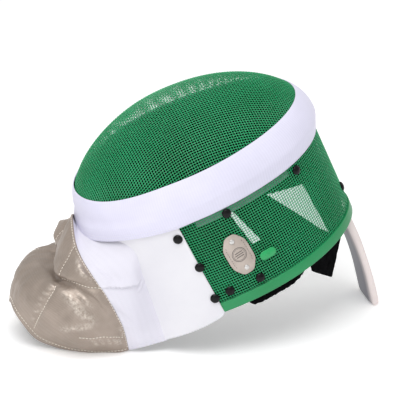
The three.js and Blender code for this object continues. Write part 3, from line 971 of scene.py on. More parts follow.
@dataclass
class CoverBand:
    """Knit band over the seam between the face and the wall, with its lower edge sewn down over the bib."""

    low_level: float = 0.0
    top_level: float = 51 * MM
    bend: float = 0.4
    wall: float = 1.5 * MM
    gap: float = 0.5 * MM
    clearance: float = 1.3 * MM
    chin_lift: float = 3.1 * MM
    lift_span: Pair = (98, 112)
    chin_room: float = 6.5 * MM
    room_span: Pair = (128, 175)
    sag: float = 0.35 * MM
    blend: float = 0.12
    steps: int = 240
    rows: int = 22
    girth: float = 0.815
    width: float = 0.0575

    def skin(self, angle: Points, part: Points, depth: Points) -> Points:
        """Points of the band.

        Args:
            angle: round the wall, in radians.
            part: share of its height.
            depth: how far out from its inner face.

        Returns:
            The points, in the frame.
        """
        taper = FORM.chin_taper(angle)
        level = self.low_level + (self.top_level - 1.3 * taper - self.low_level) * part
        around = np.abs(np.degrees(angle))
        over_bib = self.chin_lift * smooth_step(around, *self.lift_span)
        over_bib = over_bib + self.chin_room * smooth_step(around, *self.room_span)
        climb = np.clip(part / self.bend, 0, 1)
        low = (self.gap + over_bib) * (1 - climb) + (FORM.seam_flange - 0.4 * taper + self.clearance) * climb
        sag = self.sag * ripple(np.stack([np.cos(angle), np.sin(angle), part * 0.6], -1), 0.9, 5)
        u, v = FORM.wall_plan(angle, level, low + depth + sag)
        ru, rv = FORM.wall_plan(angle, FORM.seam_level, FORM.dome_growth - taper)
        grow = FORM.dome_reach(level) * (1 + (depth + sag + self.clearance) / np.hypot(ru, rv))
        blend = smooth_step(part, self.bend - self.blend, self.bend + self.blend)
        return FORM.place(u * (1 - blend) + ru * grow * blend, v * (1 - blend) + rv * grow * blend, level)

    def build(self) -> None:
        """Makes the band and its stitches."""
        angle = np.linspace(-math.pi, math.pi, self.steps + 1)[:-1]
        part = np.linspace(0, 1, self.rows)
        edge = np.array([0.3, 0.7]) * self.wall
        loop_part = np.concatenate([part, [1.008, 1.008], part[::-1], [-0.008, -0.008]])
        loop_depth = np.concatenate([np.full(self.rows, self.wall), edge[::-1], np.zeros(self.rows), edge])
        a, p = np.meshgrid(angle, loop_part, indexing="ij")
        d = np.broadcast_to(loop_depth, a.shape)
        points = self.skin(a, p, d)
        weave = np.stack([a / (2 * math.pi) * self.girth, p * self.width, 0 * a], -1)
        shape = Shape()
        shape.skin(shape.add(points, weave), round_rows=True, round_columns=True)
        band = fitted(shape.build("seam_band", BAND_KNIT), "band_knit", "cover_band")
        thread = fitted(self.stitching(), "band_knit")
        # black sheet inside the band: painted shade
        inner_shade_sheet = fitted(self.inner_shade_sheet(angle, part), "band_knit")

    def inner_shade_sheet(self, angle: Points, part: Points) -> bpy.types.Object:
        """Black sheet on the inner face of the band: painted shade for the inside of the mask.

        Args:
            angle: its places round the wall.
            part: its shares of the band's height.

        Returns:
            The piece.
        """
        inner = part[1:-1] * 0.97
        a, p = np.meshgrid(angle, np.concatenate([inner, inner[::-1]]), indexing="ij")
        d = np.broadcast_to(np.repeat([-0.08 * MM, -0.3 * MM], len(inner)), a.shape)
        shape = Shape()
        shape.skin(shape.add(self.skin(a, p, d)), round_rows=True, round_columns=True)
        return shape.build("band_painted_inner_shade", VELOUR)

    def stitching(self) -> bpy.types.Object:
        """Rows of stitches that hold the band's lower edge to the bib.

        Returns:
            The piece.
        """
        shape = Shape()
        for first, last, part in ((-104, -256, 0.055), (-118, -242, 0.13)):
            angle = np.radians(np.linspace(first, last, 240))
            angle = (angle + math.pi) % (2 * math.pi) - math.pi
            path = self.skin(angle, np.full_like(angle, part), np.full_like(angle, self.wall))
            above = self.skin(angle, np.full_like(angle, part), np.full_like(angle, self.wall + MM))
            shape.stitches(path, unit(above - path), Stitch.BAND)
        return shape.build("band_stitches", WHITE_THREAD)


@dataclass
class RearTrim:
    """Plastic channel pushed over the wall's rear edge, round the crown and sides."""

    end_degrees: float = 104.6
    height: float = 10 * MM
    outside: float = 2.0 * MM
    inside: float = -3.4 * MM
    low: float = -117 * MM
    lip: float = 1.6 * MM
    corner: float = 1.3 * MM
    tip: float = 0.7 * MM
    room: float = 0.4 * MM
    steps: int = 220

    def section(self) -> Points:
        """Closed outline of the channel, with rounded corners.

        Returns:
            Its (offset, level) points.
        """
        high = FORM.rear_level + self.height
        corner = self.corner
        outline = []
        for size, level, start in ((corner, self.low + corner, -90), (self.tip, high - self.tip, 0)):
            turn = np.radians(np.linspace(start, start + 90, 6))
            outline += [(self.outside - size + size * math.cos(t), level + size * math.sin(t)) for t in turn]
        channel = FORM.rear_level - self.room
        outline += [(self.room, high), (self.room, channel), (self.inside + self.lip, channel),
                    (self.inside + self.lip, high), (self.inside + 0.3 * MM, high)]
        turn = np.radians(np.linspace(180, 270, 6))
        outline += [(self.inside + corner + corner * math.cos(t), self.low + corner + corner * math.sin(t))
                    for t in turn]
        return np.array(outline)

    def build(self) -> None:
        """Makes the trim."""
        offset, level = self.section().T
        angle = np.radians(np.linspace(-self.end_degrees, self.end_degrees, self.steps))
        a, o = np.meshgrid(angle, offset, indexing="ij")
        shape = Shape()
        index = shape.add(FORM.wall(a, np.broadcast_to(level, a.shape), o))
        shape.skin(index, round_columns=True)
        shape.faces += [index[0][::-1].tolist(), index[-1].tolist()]
        fitted(shape.build("rear_trim_channel", TRIM_PVC), "trim_plastic", "rear_trim")


# ------------------------------------------------------------------ white panels and bib


@dataclass
class SidePanels:
    """Stiff leather panels that join the bib to the wall on both sides."""

    wire_edge: float = -109.5
    edge_lean: float = 45.0
    crease: float = -137.5
    tuck: float = -152.0
    top_level: float = 5 * MM
    rear_level: float = -117.5 * MM
    drop: float = 16.0 * MM
    drop_power: float = 0.6
    standoff: float = 2.6 * MM
    wall: float = 1.9 * MM
    tuck_depth: float = 1.0 * MM
    tuck_run: float = 0.4
    swell: float = 0.5 * MM
    rim: float = 0.5 * MM
    steps: int = 60

    def surface(self, s: Points, t: Points, side: Side) -> Points:
        """Outer face of a panel.

        Args:
            s: from the wires to under the bib; the tuck begins at 1.
            t: from the band down to the rear edge.
            side: which panel.

        Returns:
            The points, in the frame.
        """
        share = np.clip(s, 0, 1)
        bottom = self.rear_level - self.drop * share**self.drop_power
        level = self.top_level + (bottom - self.top_level) * t
        edge = self.wire_edge - level * self.edge_lean
        degrees = edge + (self.crease - edge) * share + (self.tuck - self.crease) * np.clip(s - 1, 0, 1)
        tucked = self.tuck_depth * np.clip(s - 1, 0, self.tuck_run) / self.tuck_run
        swell = self.swell * np.sin(math.pi * share) * np.sin(math.pi * np.clip(t, 0, 1))
        return FORM.wall(np.radians(degrees) * -side.value, level, self.standoff - tucked + swell)

    def build(self) -> None:
        """Makes both panels."""
        for side in Side:
            name = side.name.lower()
            s, t = np.meshgrid(np.linspace(0, 1.9, self.steps), np.linspace(0, 1, self.steps), indexing="ij")
            t = np.where(s > 1, t * (1 - 0.62 * np.clip(s - 1, 0, 1)), t)
            outer = self.surface(s, t, side)
            normals = grid_normals(outer)
            outward = np.sign((normals * (outer - FORM.origin)).sum())
            weave = np.stack([s * 0.05, t * 0.12, 0 * s], -1)
            shape = Shape()
            shape.slab(outer, outer - outward * normals * self.wall, self.rim, weave)
            panel = fitted(shape.build(f"panel_{name}", PANEL_LEATHER), "panel_leather", f"side_panel_{name}")


@dataclass
class Crease:
    """Fold or wrinkle drawn on a cloth by (s, t) points.

    A ridge has a positive height and a valley a negative one. A lapped fold steps down on its side of
    smaller s.
    """

    route: Sequence[Pair]
    height_mm: float
    width_mm: float
    lapped: bool = False
    # strength of the painted highlight along the crease
    shine: float = 0.0


@dataclass
class Cloth:
    """Fine cloth surface lofted through given arches that run from the left side over to the right."""

    arches: list[Points]
    creases: list[Crease] = field(default_factory=list)
    wall: float = 1.8 * MM
    rows: int = 280
    columns: int = 80
    crumple: float = 0.25 * MM
    fine_crumple: float = 0.0
    crumple_wave: float = 22 * MM
    lap_step: float = -0.35
    seed: int = 3
    points: Points = field(init=False)
    normals: Points = field(init=False)
    # painted highlight at each point, gathered from the creases
    shine: Points = field(init=False)

    def __post_init__(self) -> None:
        """Works out the surface, then moves it by its creases and crumples."""
        rows, columns = np.linspace(0, 1, self.rows), np.linspace(0, 1, self.columns)
        ribs = np.stack([spline(arch, rows) for arch in self.arches])
        self.points = np.swapaxes(spline(ribs, columns), 0, 1)
        self.normals = grid_normals(self.points)
        self.shine = np.zeros(self.points.shape[:2])
        s, t = np.meshgrid(rows, columns, indexing="ij")
        at_sides = smooth_step(np.minimum(s, 1 - s), 0, 0.03)
        calm = smooth_step(t, 0, 0.08) * smooth_step(1 - t, 0, 0.06) * at_sides
        lift = self.crumple * ripple(self.points, self.crumple_wave, self.seed) * calm
        lift += self.fine_crumple * ripple(self.points, self.crumple_wave / 3.2, self.seed + 1, 16) * calm
        for crease in self.creases:
            lift += self.crease_lift(crease, s)
        self.points = self.points + self.normals * lift[..., None]
        self.normals = grid_normals(self.points)

    def crease_lift(self, crease: Crease, s: Points) -> Points:
        """Works out one crease over the whole surface, and adds its painted highlight to the shine.

        Args:
            crease: the crease.
            s: the surface's own coordinate from side to side, at each point.

        Returns:
            How far the crease lifts each point.
        """
        route = spline(np.array(crease.route, float), np.linspace(0, 1, 60))
        spots = self.at(route)[0]
        apart = np.linalg.norm(self.points[:, :, None] - spots, axis=-1)
        nearest = apart.argmin(-1)
        distance = apart.min(-1) / MM
        along = np.sin(math.pi * (nearest + 0.5) / len(spots)) ** 0.5
        body = np.exp(-((distance / crease.width_mm) ** 2))
        self.shine = np.maximum(self.shine, crease.shine * along * body)
        if crease.lapped:
            below = s < route[nearest, 0]
            body = np.where(below, self.lap_step, 1.0) * np.exp(-distance / crease.width_mm)
        return crease.height_mm * MM * along * body

    def at(self, route: Points) -> tuple[Points, Points]:
        """Reads the surface between its grid's points.

        Args:
            route: rows of (s, t).

        Returns:
            Points and unit normals.
        """
        x = np.clip(route[:, 0], 0, 1) * (self.rows - 1)
        y = np.clip(route[:, 1], 0, 1) * (self.columns - 1)
        i, j = np.minimum(x.astype(int), self.rows - 2), np.minimum(y.astype(int), self.columns - 2)
        fx, fy = (x - i)[:, None], (y - j)[:, None]
        found = []
        for grid in (self.points, self.normals):
            low = grid[i, j] * (1 - fx) + grid[i + 1, j] * fx
            high = grid[i, j + 1] * (1 - fx) + grid[i + 1, j + 1] * fx
            found.append(low * (1 - fy) + high * fy)
        return found[0], unit(found[1])

    def row(self, route: Sequence[Pair], samples: int = 300) -> tuple[Points, Points]:
        """Smooth line on the surface.

        Args:
            route: (s, t) points that it runs through.
            samples: how many points it has.

        Returns:
            Its points and normals.
        """
        return self.at(spline(np.array(route, float), np.linspace(0, 1, samples)))

    def fill(self, shape: Shape) -> None:
        """Adds the cloth as a sheet of its real thickness.

        Args:
            shape: mesh to add to.
        """
        length = run_length(self.points[:, self.columns // 2])[-1]
        depth = run_length(self.points[self.rows // 2])[-1]
        across, down = np.linspace(0, length, self.rows), np.linspace(0, depth, self.columns)
        s, t = np.meshgrid(across, down, indexing="ij")
        shape.slab(self.points, self.points - self.normals * self.wall, 0.4 * self.wall,
                   np.stack([s, t, 0 * s], -1), self.shine)


def arch(near: Sequence[Sequence[float]], pull: float = 0.0) -> Points:
    """Arch over the bib.

    Args:
        near: points of its left half up to the middle, in millimetres from the origin.
        pull: how far its right half sits back towards the mask, in millimetres.

    Returns:
        Points of the whole arch, in the frame.
    """
    half = np.array(near, float)
    far = half[-2::-1].copy()
    far[:, 0] += pull * (1 - np.abs(far[:, 1]) / 90)
    far[:, 1] *= -1
    return FORM.rest(np.concatenate([half, far]))


def mirrored(route: Sequence[Pair]) -> list[Pair]:
    """The same line on the other half of the bib."""
    return [(1 - s, t) for s, t in route]


# Rest pose of the bib, in millimetres: how far its right half sits back, and its edge against the throat bib.
BIB_PULL = 14.0
BIB_EDGE = [(-93.5, -72, -177), (-103, -86, -142), (-114, -88.5, -116), (-125, -86, -94),
            (-137, -75, -75), (-146, -44, -56), (-141.3, 0, -36)]


@dataclass
class Bib:
    """Soft white bib, from the panels' crease and the chin out to the conductive cloth."""

    crease_degrees: float = -136.2
    standoff: float = 1.4 * MM
    wall: float = 2.2 * MM

    def wall_arch(self) -> Points:
        """Line where the bib leaves the wall: up the left crease, round the chin and down the right one.

        Returns:
            Its points, in the frame.
        """
        levels = np.array([-134.5, -90, -50, -12]) * MM
        crease = FORM.wall(np.full(4, math.radians(self.crease_degrees)), levels, self.standoff)
        angle = np.radians([-148, -164, -180])
        chin = FORM.wall(angle, np.array([-1.5, 3.5, 4]) * MM, self.standoff)
        half = np.concatenate([crease, chin])
        far = half[-2::-1] * [1, -1, 1]
        return np.concatenate([half, far])

    def build(self) -> None:
        """Makes the bib and its stitches."""
        middle = arch([(-78, -80, -171), (-86, -90, -142), (-95, -92, -114), (-106, -86, -90),
                       (-122, -70, -67), (-138, -37, -54), (-137.5, 0, -46)], BIB_PULL / 2)
        near = [
            Crease([(0.268, 1.0), (0.264, 0.75), (0.246, 0.5), (0.203, 0.28), (0.147, 0.07)],
                   2.4, 9, lapped=True),
            Crease([(0.385, 0.97), (0.34, 0.68), (0.285, 0.5), (0.25, 0.4)], -1.5, 4.5),
            Crease([(0.36, 0.99), (0.32, 0.78), (0.28, 0.66)], 1.0, 5.0),
            Crease([(0.195, 1.0), (0.16, 0.93), (0.125, 0.82), (0.1, 0.66)], -1.6, 4.0),
            Crease([(0.225, 1.0), (0.18, 0.85), (0.14, 0.7)], 1.1, 5.0),
            Crease([(0.06, 0.95), (0.055, 0.6), (0.04, 0.25)], -0.7, 5.0),
            Crease([(0.46, 0.95), (0.43, 0.6), (0.40, 0.3)], -1.0, 5.0),
        ]
        far = [Crease(mirrored(c.route), 0.8 * c.height_mm, c.width_mm, False) for c in near]
        cloth = Cloth([self.wall_arch(), middle, arch(BIB_EDGE, BIB_PULL + 17)], near + far, self.wall,
                      rows=300, columns=56, crumple=0.35 * MM, crumple_wave=34 * MM, seed=11)
        shape = Shape()
        cloth.fill(shape)
        bib = fitted(shape.build("bib_white", BIB_CLOTH), "bib_cloth", "bib")
        stitched = Shape()
        edge = [(0.012, 0.03), (0.012, 0.5), (0.012, 0.98)]
        for route in (edge, mirrored(edge)):
            stitched.stitches(*cloth.row(route), Stitch.BIB)
        thread = fitted(stitched.build("bib_stitches", WHITE_THREAD), "bib_cloth")


@dataclass
class ConductiveBib:
    """Throat bib of steel-yarn cloth: a rolled collar, a sewn crease below it and a full, piped skirt."""

    wall: float = 2.0 * MM
    piping: float = 0.9 * MM
    piping_steps: int = 420
    edge_inset: float = 0.024
    top_inset: float = 0.016

    def arches(self) -> list[Points]:
        """Arches from the white bib's edge over the collar and down to the hem.

        Returns:
            The arches, in the frame.
        """
        return [
            arch([(-94.2, -72.1, -177), (-103.6, -86.1, -142), (-114.6, -88.6, -116), (-125.7, -86.2, -93.5),
                  (-137.9, -75.5, -74), (-147.2, -44.1, -54), (-142.5, 0, -34)], BIB_PULL + 17),
            arch([(-99, -72.5, -177.5), (-108, -87, -143), (-118, -89.5, -118), (-130, -87.5, -95),
                  (-150, -71, -71), (-156, -40, -59.5), (-149, 0, -43)], BIB_PULL + 26),
            arch([(-103, -72.7, -178), (-111, -87.5, -144), (-121, -90, -120), (-134, -88.5, -99),
                  (-160, -66, -84), (-172, -38, -83), (-162, 0, -77)], BIB_PULL + 20),
            arch([(-107, -72.5, -178), (-114, -87.5, -146), (-124, -89.5, -122), (-136, -85.5, -102),
                  (-158, -62, -92), (-168, -38, -92.5), (-163, 0, -93)], BIB_PULL + 8),
            arch([(-122, -68, -178.3), (-131, -86, -149), (-143, -88, -128), (-157, -80, -112),
                  (-174, -62, -98), (-183, -36, -93), (-184, 0, -92)]),
            arch([(-138, -64, -178.4), (-149, -80, -156), (-165, -80, -138), (-180, -70, -125),
                  (-196, -50, -114), (-205, -26, -107), (-206, 0, -105)]),
            arch([(-150, -58, -178.4), (-164, -52, -177), (-180, -44, -173.5), (-196, -36, -166),
                  (-210, -27, -148), (-216, -14, -138), (-217, 0, -133)]),
        ]

    @staticmethod
    def seams() -> dict[str, list[Pair]]:
        """Sewn lines of the left half.

        Returns:
            The (s, t) points of each, by what it is.
        """
        return {
            "collar_dart": [(0.424, 0.012), (0.41, 0.13), (0.393, 0.22), (0.381, 0.36)],
            "collar_crease": [(0.388, 0.43), (0.345, 0.43), (0.302, 0.325), (0.278, 0.225), (0.268, 0.03)],
            "skirt_seam": [(0.370, 0.61), (0.330, 0.73), (0.297, 0.845), (0.278, 0.965)],
            "tuck": [(0.115, 0.84), (0.088, 0.76), (0.077, 0.62), (0.062, 0.4), (0.052, 0.06)],
        }

    def creases(self) -> list[Crease]:
        """Folds and wrinkles, many with a painted highlight: the seams' own valleys, loose ones and two rows
        of small pleats.

        Returns:
            The creases of both halves.
        """
        seams = self.seams()
        # a crease's shine is the strength of its painted highlight
        near = [
            Crease(seams["collar_dart"], -0.9, 2.2),
            Crease(seams["collar_crease"], -3.0, 4.5),
            Crease(seams["skirt_seam"], -1.2, 2.4, shine=0.25),
            Crease(seams["tuck"], -0.7, 2.2, shine=0.2),
            Crease([(0.40, 0.46), (0.43, 0.47), (0.46, 0.46), (0.50, 0.45)], -3.2, 4.0),
            Crease([(0.40, 0.58), (0.405, 0.50), (0.42, 0.47)], -2.0, 3.0),
            Crease([(0.335, 0.60), (0.295, 0.64), (0.25, 0.66), (0.21, 0.66), (0.165, 0.62)],
                   1.5, 5.5, shine=0.95),
            Crease([(0.155, 0.62), (0.15, 0.72), (0.165, 0.82), (0.19, 0.88)], 1.1, 4.2, shine=0.75),
            Crease([(0.315, 0.55), (0.28, 0.57), (0.245, 0.58), (0.22, 0.56)], 1.0, 2.6, shine=0.6),
            Crease([(0.393, 0.05), (0.362, 0.10), (0.33, 0.14), (0.31, 0.15)], 1.2, 3.2, shine=0.9),
            Crease([(0.345, 0.2), (0.315, 0.13), (0.29, 0.06)], 0.8, 2.4, shine=0.6),
            Crease([(0.1, 0.10), (0.07, 0.12), (0.05, 0.14)], 0.6, 2.0, shine=0.6),
            Crease([(0.27, 0.62), (0.23, 0.76), (0.2, 0.9)], -0.9, 5.0),
            Crease([(0.35, 0.72), (0.39, 0.8), (0.4, 0.92)], -0.8, 6.0),
            Crease([(0.46, 0.62), (0.50, 0.66), (0.55, 0.66)], 0.9, 5.0),
        ]
        near += [Crease([(0.03 + 0.002 * k, 0.30 + 0.07 * k), (0.055 + 0.004 * k, 0.33 + 0.07 * k)],
                        0.55, 1.7, shine=0.7) for k in range(7)]
        near += [Crease([(0.362 - 0.012 * k, 0.64 + 0.045 * k), (0.372 - 0.012 * k, 0.655 + 0.045 * k),
                         (0.384 - 0.012 * k, 0.66 + 0.045 * k)], 0.6, 1.6, shine=0.75) for k in range(7)]
        far = [Crease(mirrored(c.route), 0.85 * c.height_mm, 1.15 * c.width_mm, False, 0.8 * c.shine)
               for c in near]
        return near + far

    def build(self) -> None:
        """Makes the throat bib with its hem and stitches."""
        cloth = Cloth(self.arches(), self.creases(), self.wall, rows=300, columns=110,
                      crumple=0.34 * MM, fine_crumple=0.09 * MM, crumple_wave=16 * MM, seed=7)
        shape = Shape()
        cloth.fill(shape)
        bib = fitted(shape.build("bib_lame", LAME), "lame_cloth", "bib_conductive")
        hem = fitted(self.hem(cloth), "lame_cloth")
        thread = fitted(self.stitching(cloth), "lame_cloth")

    @staticmethod
    def free_edge(inset: float) -> list[Pair]:
        """Line along the free edge, from the left end round the skirt to the right end.

        Args:
            inset: how far in from the edge, as a share of the cloth.

        Returns:
            Its (s, t) points.
        """
        left = [(inset * 0.33, 0.02), (inset * 0.33, 0.45), (inset * 0.5, 0.82),
                (0.02 + inset, 0.945 - inset * 0.4), (0.07, 0.985 - inset), (0.18, 1 - inset),
                (0.34, 1 - inset), (0.5, 1 - inset)]
        return left + mirrored(left[-2::-1])

    def hem(self, cloth: Cloth) -> bpy.types.Object:
        """Piping along the free edge.

        Args:
            cloth: the throat bib's surface.

        Returns:
            The piece.
        """
        shape = Shape()
        edge = np.concatenate([cloth.points[0, :-1], cloth.points[:, -1], cloth.points[-1, -2::-1]])
        facing = np.concatenate([cloth.normals[0, :-1], cloth.normals[:, -1], cloth.normals[-1, -2::-1]])
        run = run_length(edge)
        at = np.linspace(0, run[-1], self.piping_steps)
        path = np.stack([np.interp(at, run, edge[:, k]) for k in range(3)], 1)
        normal = unit(np.stack([np.interp(at, run, facing[:, k]) for k in range(3)], 1))
        path = path - normal * self.wall * 0.5
        path[:, 2] = np.maximum(path[:, 2], self.piping)
        shape.tube(path, normal, self.piping, sides=8)
        return shape.build("bib_hem", LAME)

    def stitching(self, cloth: Cloth) -> bpy.types.Object:
        """All rows of stitches on the throat bib.

        Args:
            cloth: its surface.

        Returns:
            The piece.
        """
        shape = Shape()
        routes = list(self.seams().values())
        routes += [mirrored(r) for r in routes]
        routes.append([(s, self.top_inset) for s in np.linspace(0.01, 0.99, 40)])
        routes.append(self.free_edge(self.edge_inset))
        for route in routes:
            shape.stitches(*cloth.row(route, 600), Stitch.LAME)
        return shape.build("bib_lame_stitches", THREAD)


# ------------------------------------------------------------------ tongue, fittings and lining


@dataclass
class Tongue:
    """Padded spring tongue at the back of the head, which props the mask up."""

    width: float = 58 * MM
    thickness: float = 11.6 * MM
    welt_depth: float = 0.16
    rows: int = 70
    columns: int = 40

    def build(self) -> None:
        """Makes the tongue."""
        spine = FORM.rest([(181, 0, -60), (197, 0, -98), (209.5, 0, -136), (220, 0, -178.6)])
        t = np.linspace(0, 1, self.rows)
        centre = spline(spine, t)
        along = unit(np.gradient(centre, axis=0))
        normal = np.stack([-along[:, 2], 0 * t, along[:, 0]], 1)
        turn = np.linspace(0, 2 * math.pi, self.columns + 1)[:-1]
        c, s = np.cos(turn), np.sin(turn)
        across = np.sign(c) * np.abs(c) ** 0.55
        through = np.sign(s) * np.abs(s) ** 0.62
        end = np.minimum(1, np.sqrt(np.maximum(1 - ((t - 0.5) / 0.5) ** 20, 0)) + 0.12)
        welt = 1 - self.welt_depth * np.exp(-(((np.abs(across) - 0.86) / 0.05) ** 2))
        half = self.thickness / 2 * np.outer(end, welt * through) * (1 + 0.05 * np.sin(9 * t))[:, None]
        y = self.width / 2 * np.outer(np.minimum(end + 0.04, 1) ** 0.4, across)
        points = centre[:, None] + normal[:, None] * half[..., None]
        points[..., 1] = y
        points[..., 2] = np.maximum(points[..., 2], 0)
        shape = Shape()
        # painted light of each point: the side towards the head takes the finish's grey painted shade
        index = shape.add(points, shine=np.broadcast_to(0.5 + 0.5 * through, points.shape[:2]))
        shape.skin(index, round_columns=True)
        shape.faces += [index[0][::-1].tolist(), index[-1].tolist()]
        piece = fitted(shape.build("tongue_pad", TONGUE_VINYL), "tongue_cloth", "tongue")


@dataclass
class Studs:
    """Domed snap studs, three on each panel and five on the wires of each side."""

    radius: float = 5.6 * MM
    height: float = 3.4 * MM
    panel_places: Sequence[Pair] = ((-111.6, -13.3), (-107.0, -54), (-105.8, -96))
    wire_places: Sequence[Pair] = ((-86, -7.5), (-46.5, -9.6), (-83.7, -96), (-98.2, -95), (-10, -84))
    panel_standoff: float = 3.0 * MM
    wire_standoff: float = 0.4 * MM
    rim: float = 0.5 * MM
    foot_share: float = 0.94

    def profile(self) -> list[Pair]:
        """Turned outline with a thin rim and a shallow dome.

        Returns:
            Its (radius, height) points.
        """
        dome = [(self.radius * math.cos(a), self.rim + (self.height - self.rim) * math.sin(a))
                for a in np.linspace(0, math.pi / 2, 9)]
        return [(0.0, 0.0), (self.radius * self.foot_share, 0.0), *dome[:-1], (0.0, self.height)]

    def build(self) -> None:
        """Makes every stud."""
        places = [(p, self.panel_standoff) for p in self.panel_places]
        places += [(p, self.wire_standoff) for p in self.wire_places]
        for side in Side:
            for number, ((degrees, level), standoff) in enumerate(places, 1):
                matrix = FORM.wall_frame(-side.value * degrees, level * MM, standoff)
                shape = Shape()
                shape.lathe(self.profile(), matrix, sides=28)
                name = f"{side.name.lower()}_{number}"
                fitted(shape.build(f"snap_stud_{name}", STUD_NYLON), "stud_plastic", f"stud_{name}")


@dataclass
class RatingPlate:
    """Riveted metal plate with plain stamped lines and a generic ring mark.

    The rivets and the stamping are in millimetres: (radius, height) pairs, and (radius, thickness) pairs.
    """

    degrees: float = -88.0
    level: float = -58.5 * MM
    turn: float = 7.0
    length: float = 51 * MM
    width: float = 30 * MM
    wall: float = 1.2 * MM
    standoff: float = 1.2 * MM
    rivet_spacing: float = 36 * MM
    rivet: Sequence[Pair] = ((0, 0), (3, 0), (3, 0.3), (2.5, 0.85), (1.5, 1.1), (0, 1.15))
    rings: Sequence[Pair] = ((8.4, 0.4), (7.0, 0.22))
    bar_spacing: float = 2.6
    bar_reach: float = 5.4
    dash_spacing: float = 3.2
    corner_cut: float = 0.28

    def outline(self) -> Points:
        """Long hexagon with rounded corners and ends.

        Returns:
            Its points about the plate's centre.
        """
        corners = np.array([(1, -0.25), (1, 0.25), (0.42, 0.5), (-0.42, 0.5), (-1, 0.25),
                            (-1, -0.25), (-0.42, -0.5), (0.42, -0.5)])
        corners *= [self.width / 2, self.length]
        smooth = []
        for k, corner in enumerate(corners):
            before, after = corners[k - 1], corners[(k + 1) % len(corners)]
            first = corner + (before - corner) * self.corner_cut
            last = corner + (after - corner) * self.corner_cut
            for w in np.linspace(0, 1, 6):
                smooth.append(first * (1 - w) ** 2 + 2 * corner * w * (1 - w) + last * w**2)
        return np.array(smooth)

    def build(self) -> None:
        """Makes the plate, its stamping and its rivets."""
        matrix = FORM.wall_frame(self.degrees, self.level, self.standoff)
        matrix = matrix @ Matrix.Rotation(math.radians(self.turn), 4, "Z")
        shape = Shape()
        bevel = 0.35 * MM
        shape.plate(self.outline(), [(0, 0), (0, self.wall - bevel), (bevel, self.wall)], matrix)
        fitted(shape.build("rating_plate_metal", PLATE_METAL), "plate_metal", "rating_plate")
        fitted(self.stamping(matrix), "plate_metal")
        for name, end in (("lower", -1), ("upper", 1)):
            spot = matrix @ Matrix.Translation((0, end * self.rivet_spacing / 2, self.wall + 0.1 * MM))
            head = Shape()
            head.lathe([(radius * MM, height * MM) for radius, height in self.rivet], spot, sides=24)
            fitted(head.build(f"rivet_{name}", RIVET_METAL), "rivet_metal", f"plate_rivet_{name}")

    def stamping(self, matrix: Matrix) -> bpy.types.Object:
        """Rings, bars and short dashes, filled with enamel.

        Args:
            matrix: the plate's seat on the wall.

        Returns:
            The piece.
        """
        shape = Shape()
        top = self.wall + 0.05 * MM
        up = np.array(matrix)[:3, 2]

        def line(points: Points, radius: float, ring: bool = False) -> None:
            """Adds one stamped line of the plate."""
            path = moved(np.concatenate([points, np.full((len(points), 1), top)], 1), matrix)
            shape.tube(path, np.broadcast_to(up, path.shape), radius, sides=6, ring=ring, flat=0.35)

        turn = np.linspace(0, 2 * math.pi, 49)[:-1]
        circle = np.stack([np.cos(turn), np.sin(turn)], 1)
        for radius, thickness in self.rings:
            line(circle * radius * MM, thickness * MM, True)
        for height in (-self.bar_spacing, 0.0, self.bar_spacing):
            reach = math.sqrt(self.bar_reach**2 - height**2)
            line(np.array([(-reach, height), (0, height), (reach, height)]) * MM, 0.55 * MM)
        for side in (-1, 1):
            for k in range(9):
                y = -13 + k * self.dash_spacing
                x = side * (11.2 if abs(y) < 12 else 10.4)
                line(np.array([(x, y), (x, y + 0.9), (x, y + 1.8)]) * MM, 0.28 * MM)
        return shape.build("plate_stamping", PLATE_ENAMEL)


@dataclass
class SizeTag:
    """Small oblong tag clipped to the wires, blank but for a moulded ring."""

    degrees: float = -76.7
    level: float = -74 * MM
    length: float = 20.5 * MM
    width: float = 10.5 * MM

    def build(self) -> None:
        """Makes the tag."""
        matrix = FORM.wall_frame(self.degrees, self.level, 1.0 * MM)
        run, radius = (self.length - self.width) / 2, self.width / 2
        turn = np.radians(np.concatenate([np.linspace(-90, 90, 20), np.linspace(90, 270, 20)]))
        shift = np.repeat([run, -run], 20)
        outline = np.stack([shift + radius * np.cos(turn), radius * np.sin(turn)], 1)
        shape = Shape()
        shape.plate(outline, [(0.2 * MM, 0), (0, 0.4 * MM), (0, 1.0 * MM), (0.5 * MM, 1.4 * MM)], matrix)
        ring = np.linspace(0, 2 * math.pi, 33)[:-1]
        circle = np.stack([1.9 * np.cos(ring), 1.9 * np.sin(ring), np.full(32, 1.42)], 1) * MM
        up = np.array(matrix)[:3, 2]
        shape.tube(moved(circle, matrix), np.broadcast_to(up, (32, 3)), 0.3 * MM, sides=6, ring=True)
        fitted(shape.build("size_tag_nylon", TAG_NYLON), "tag_plastic", "size_tag")


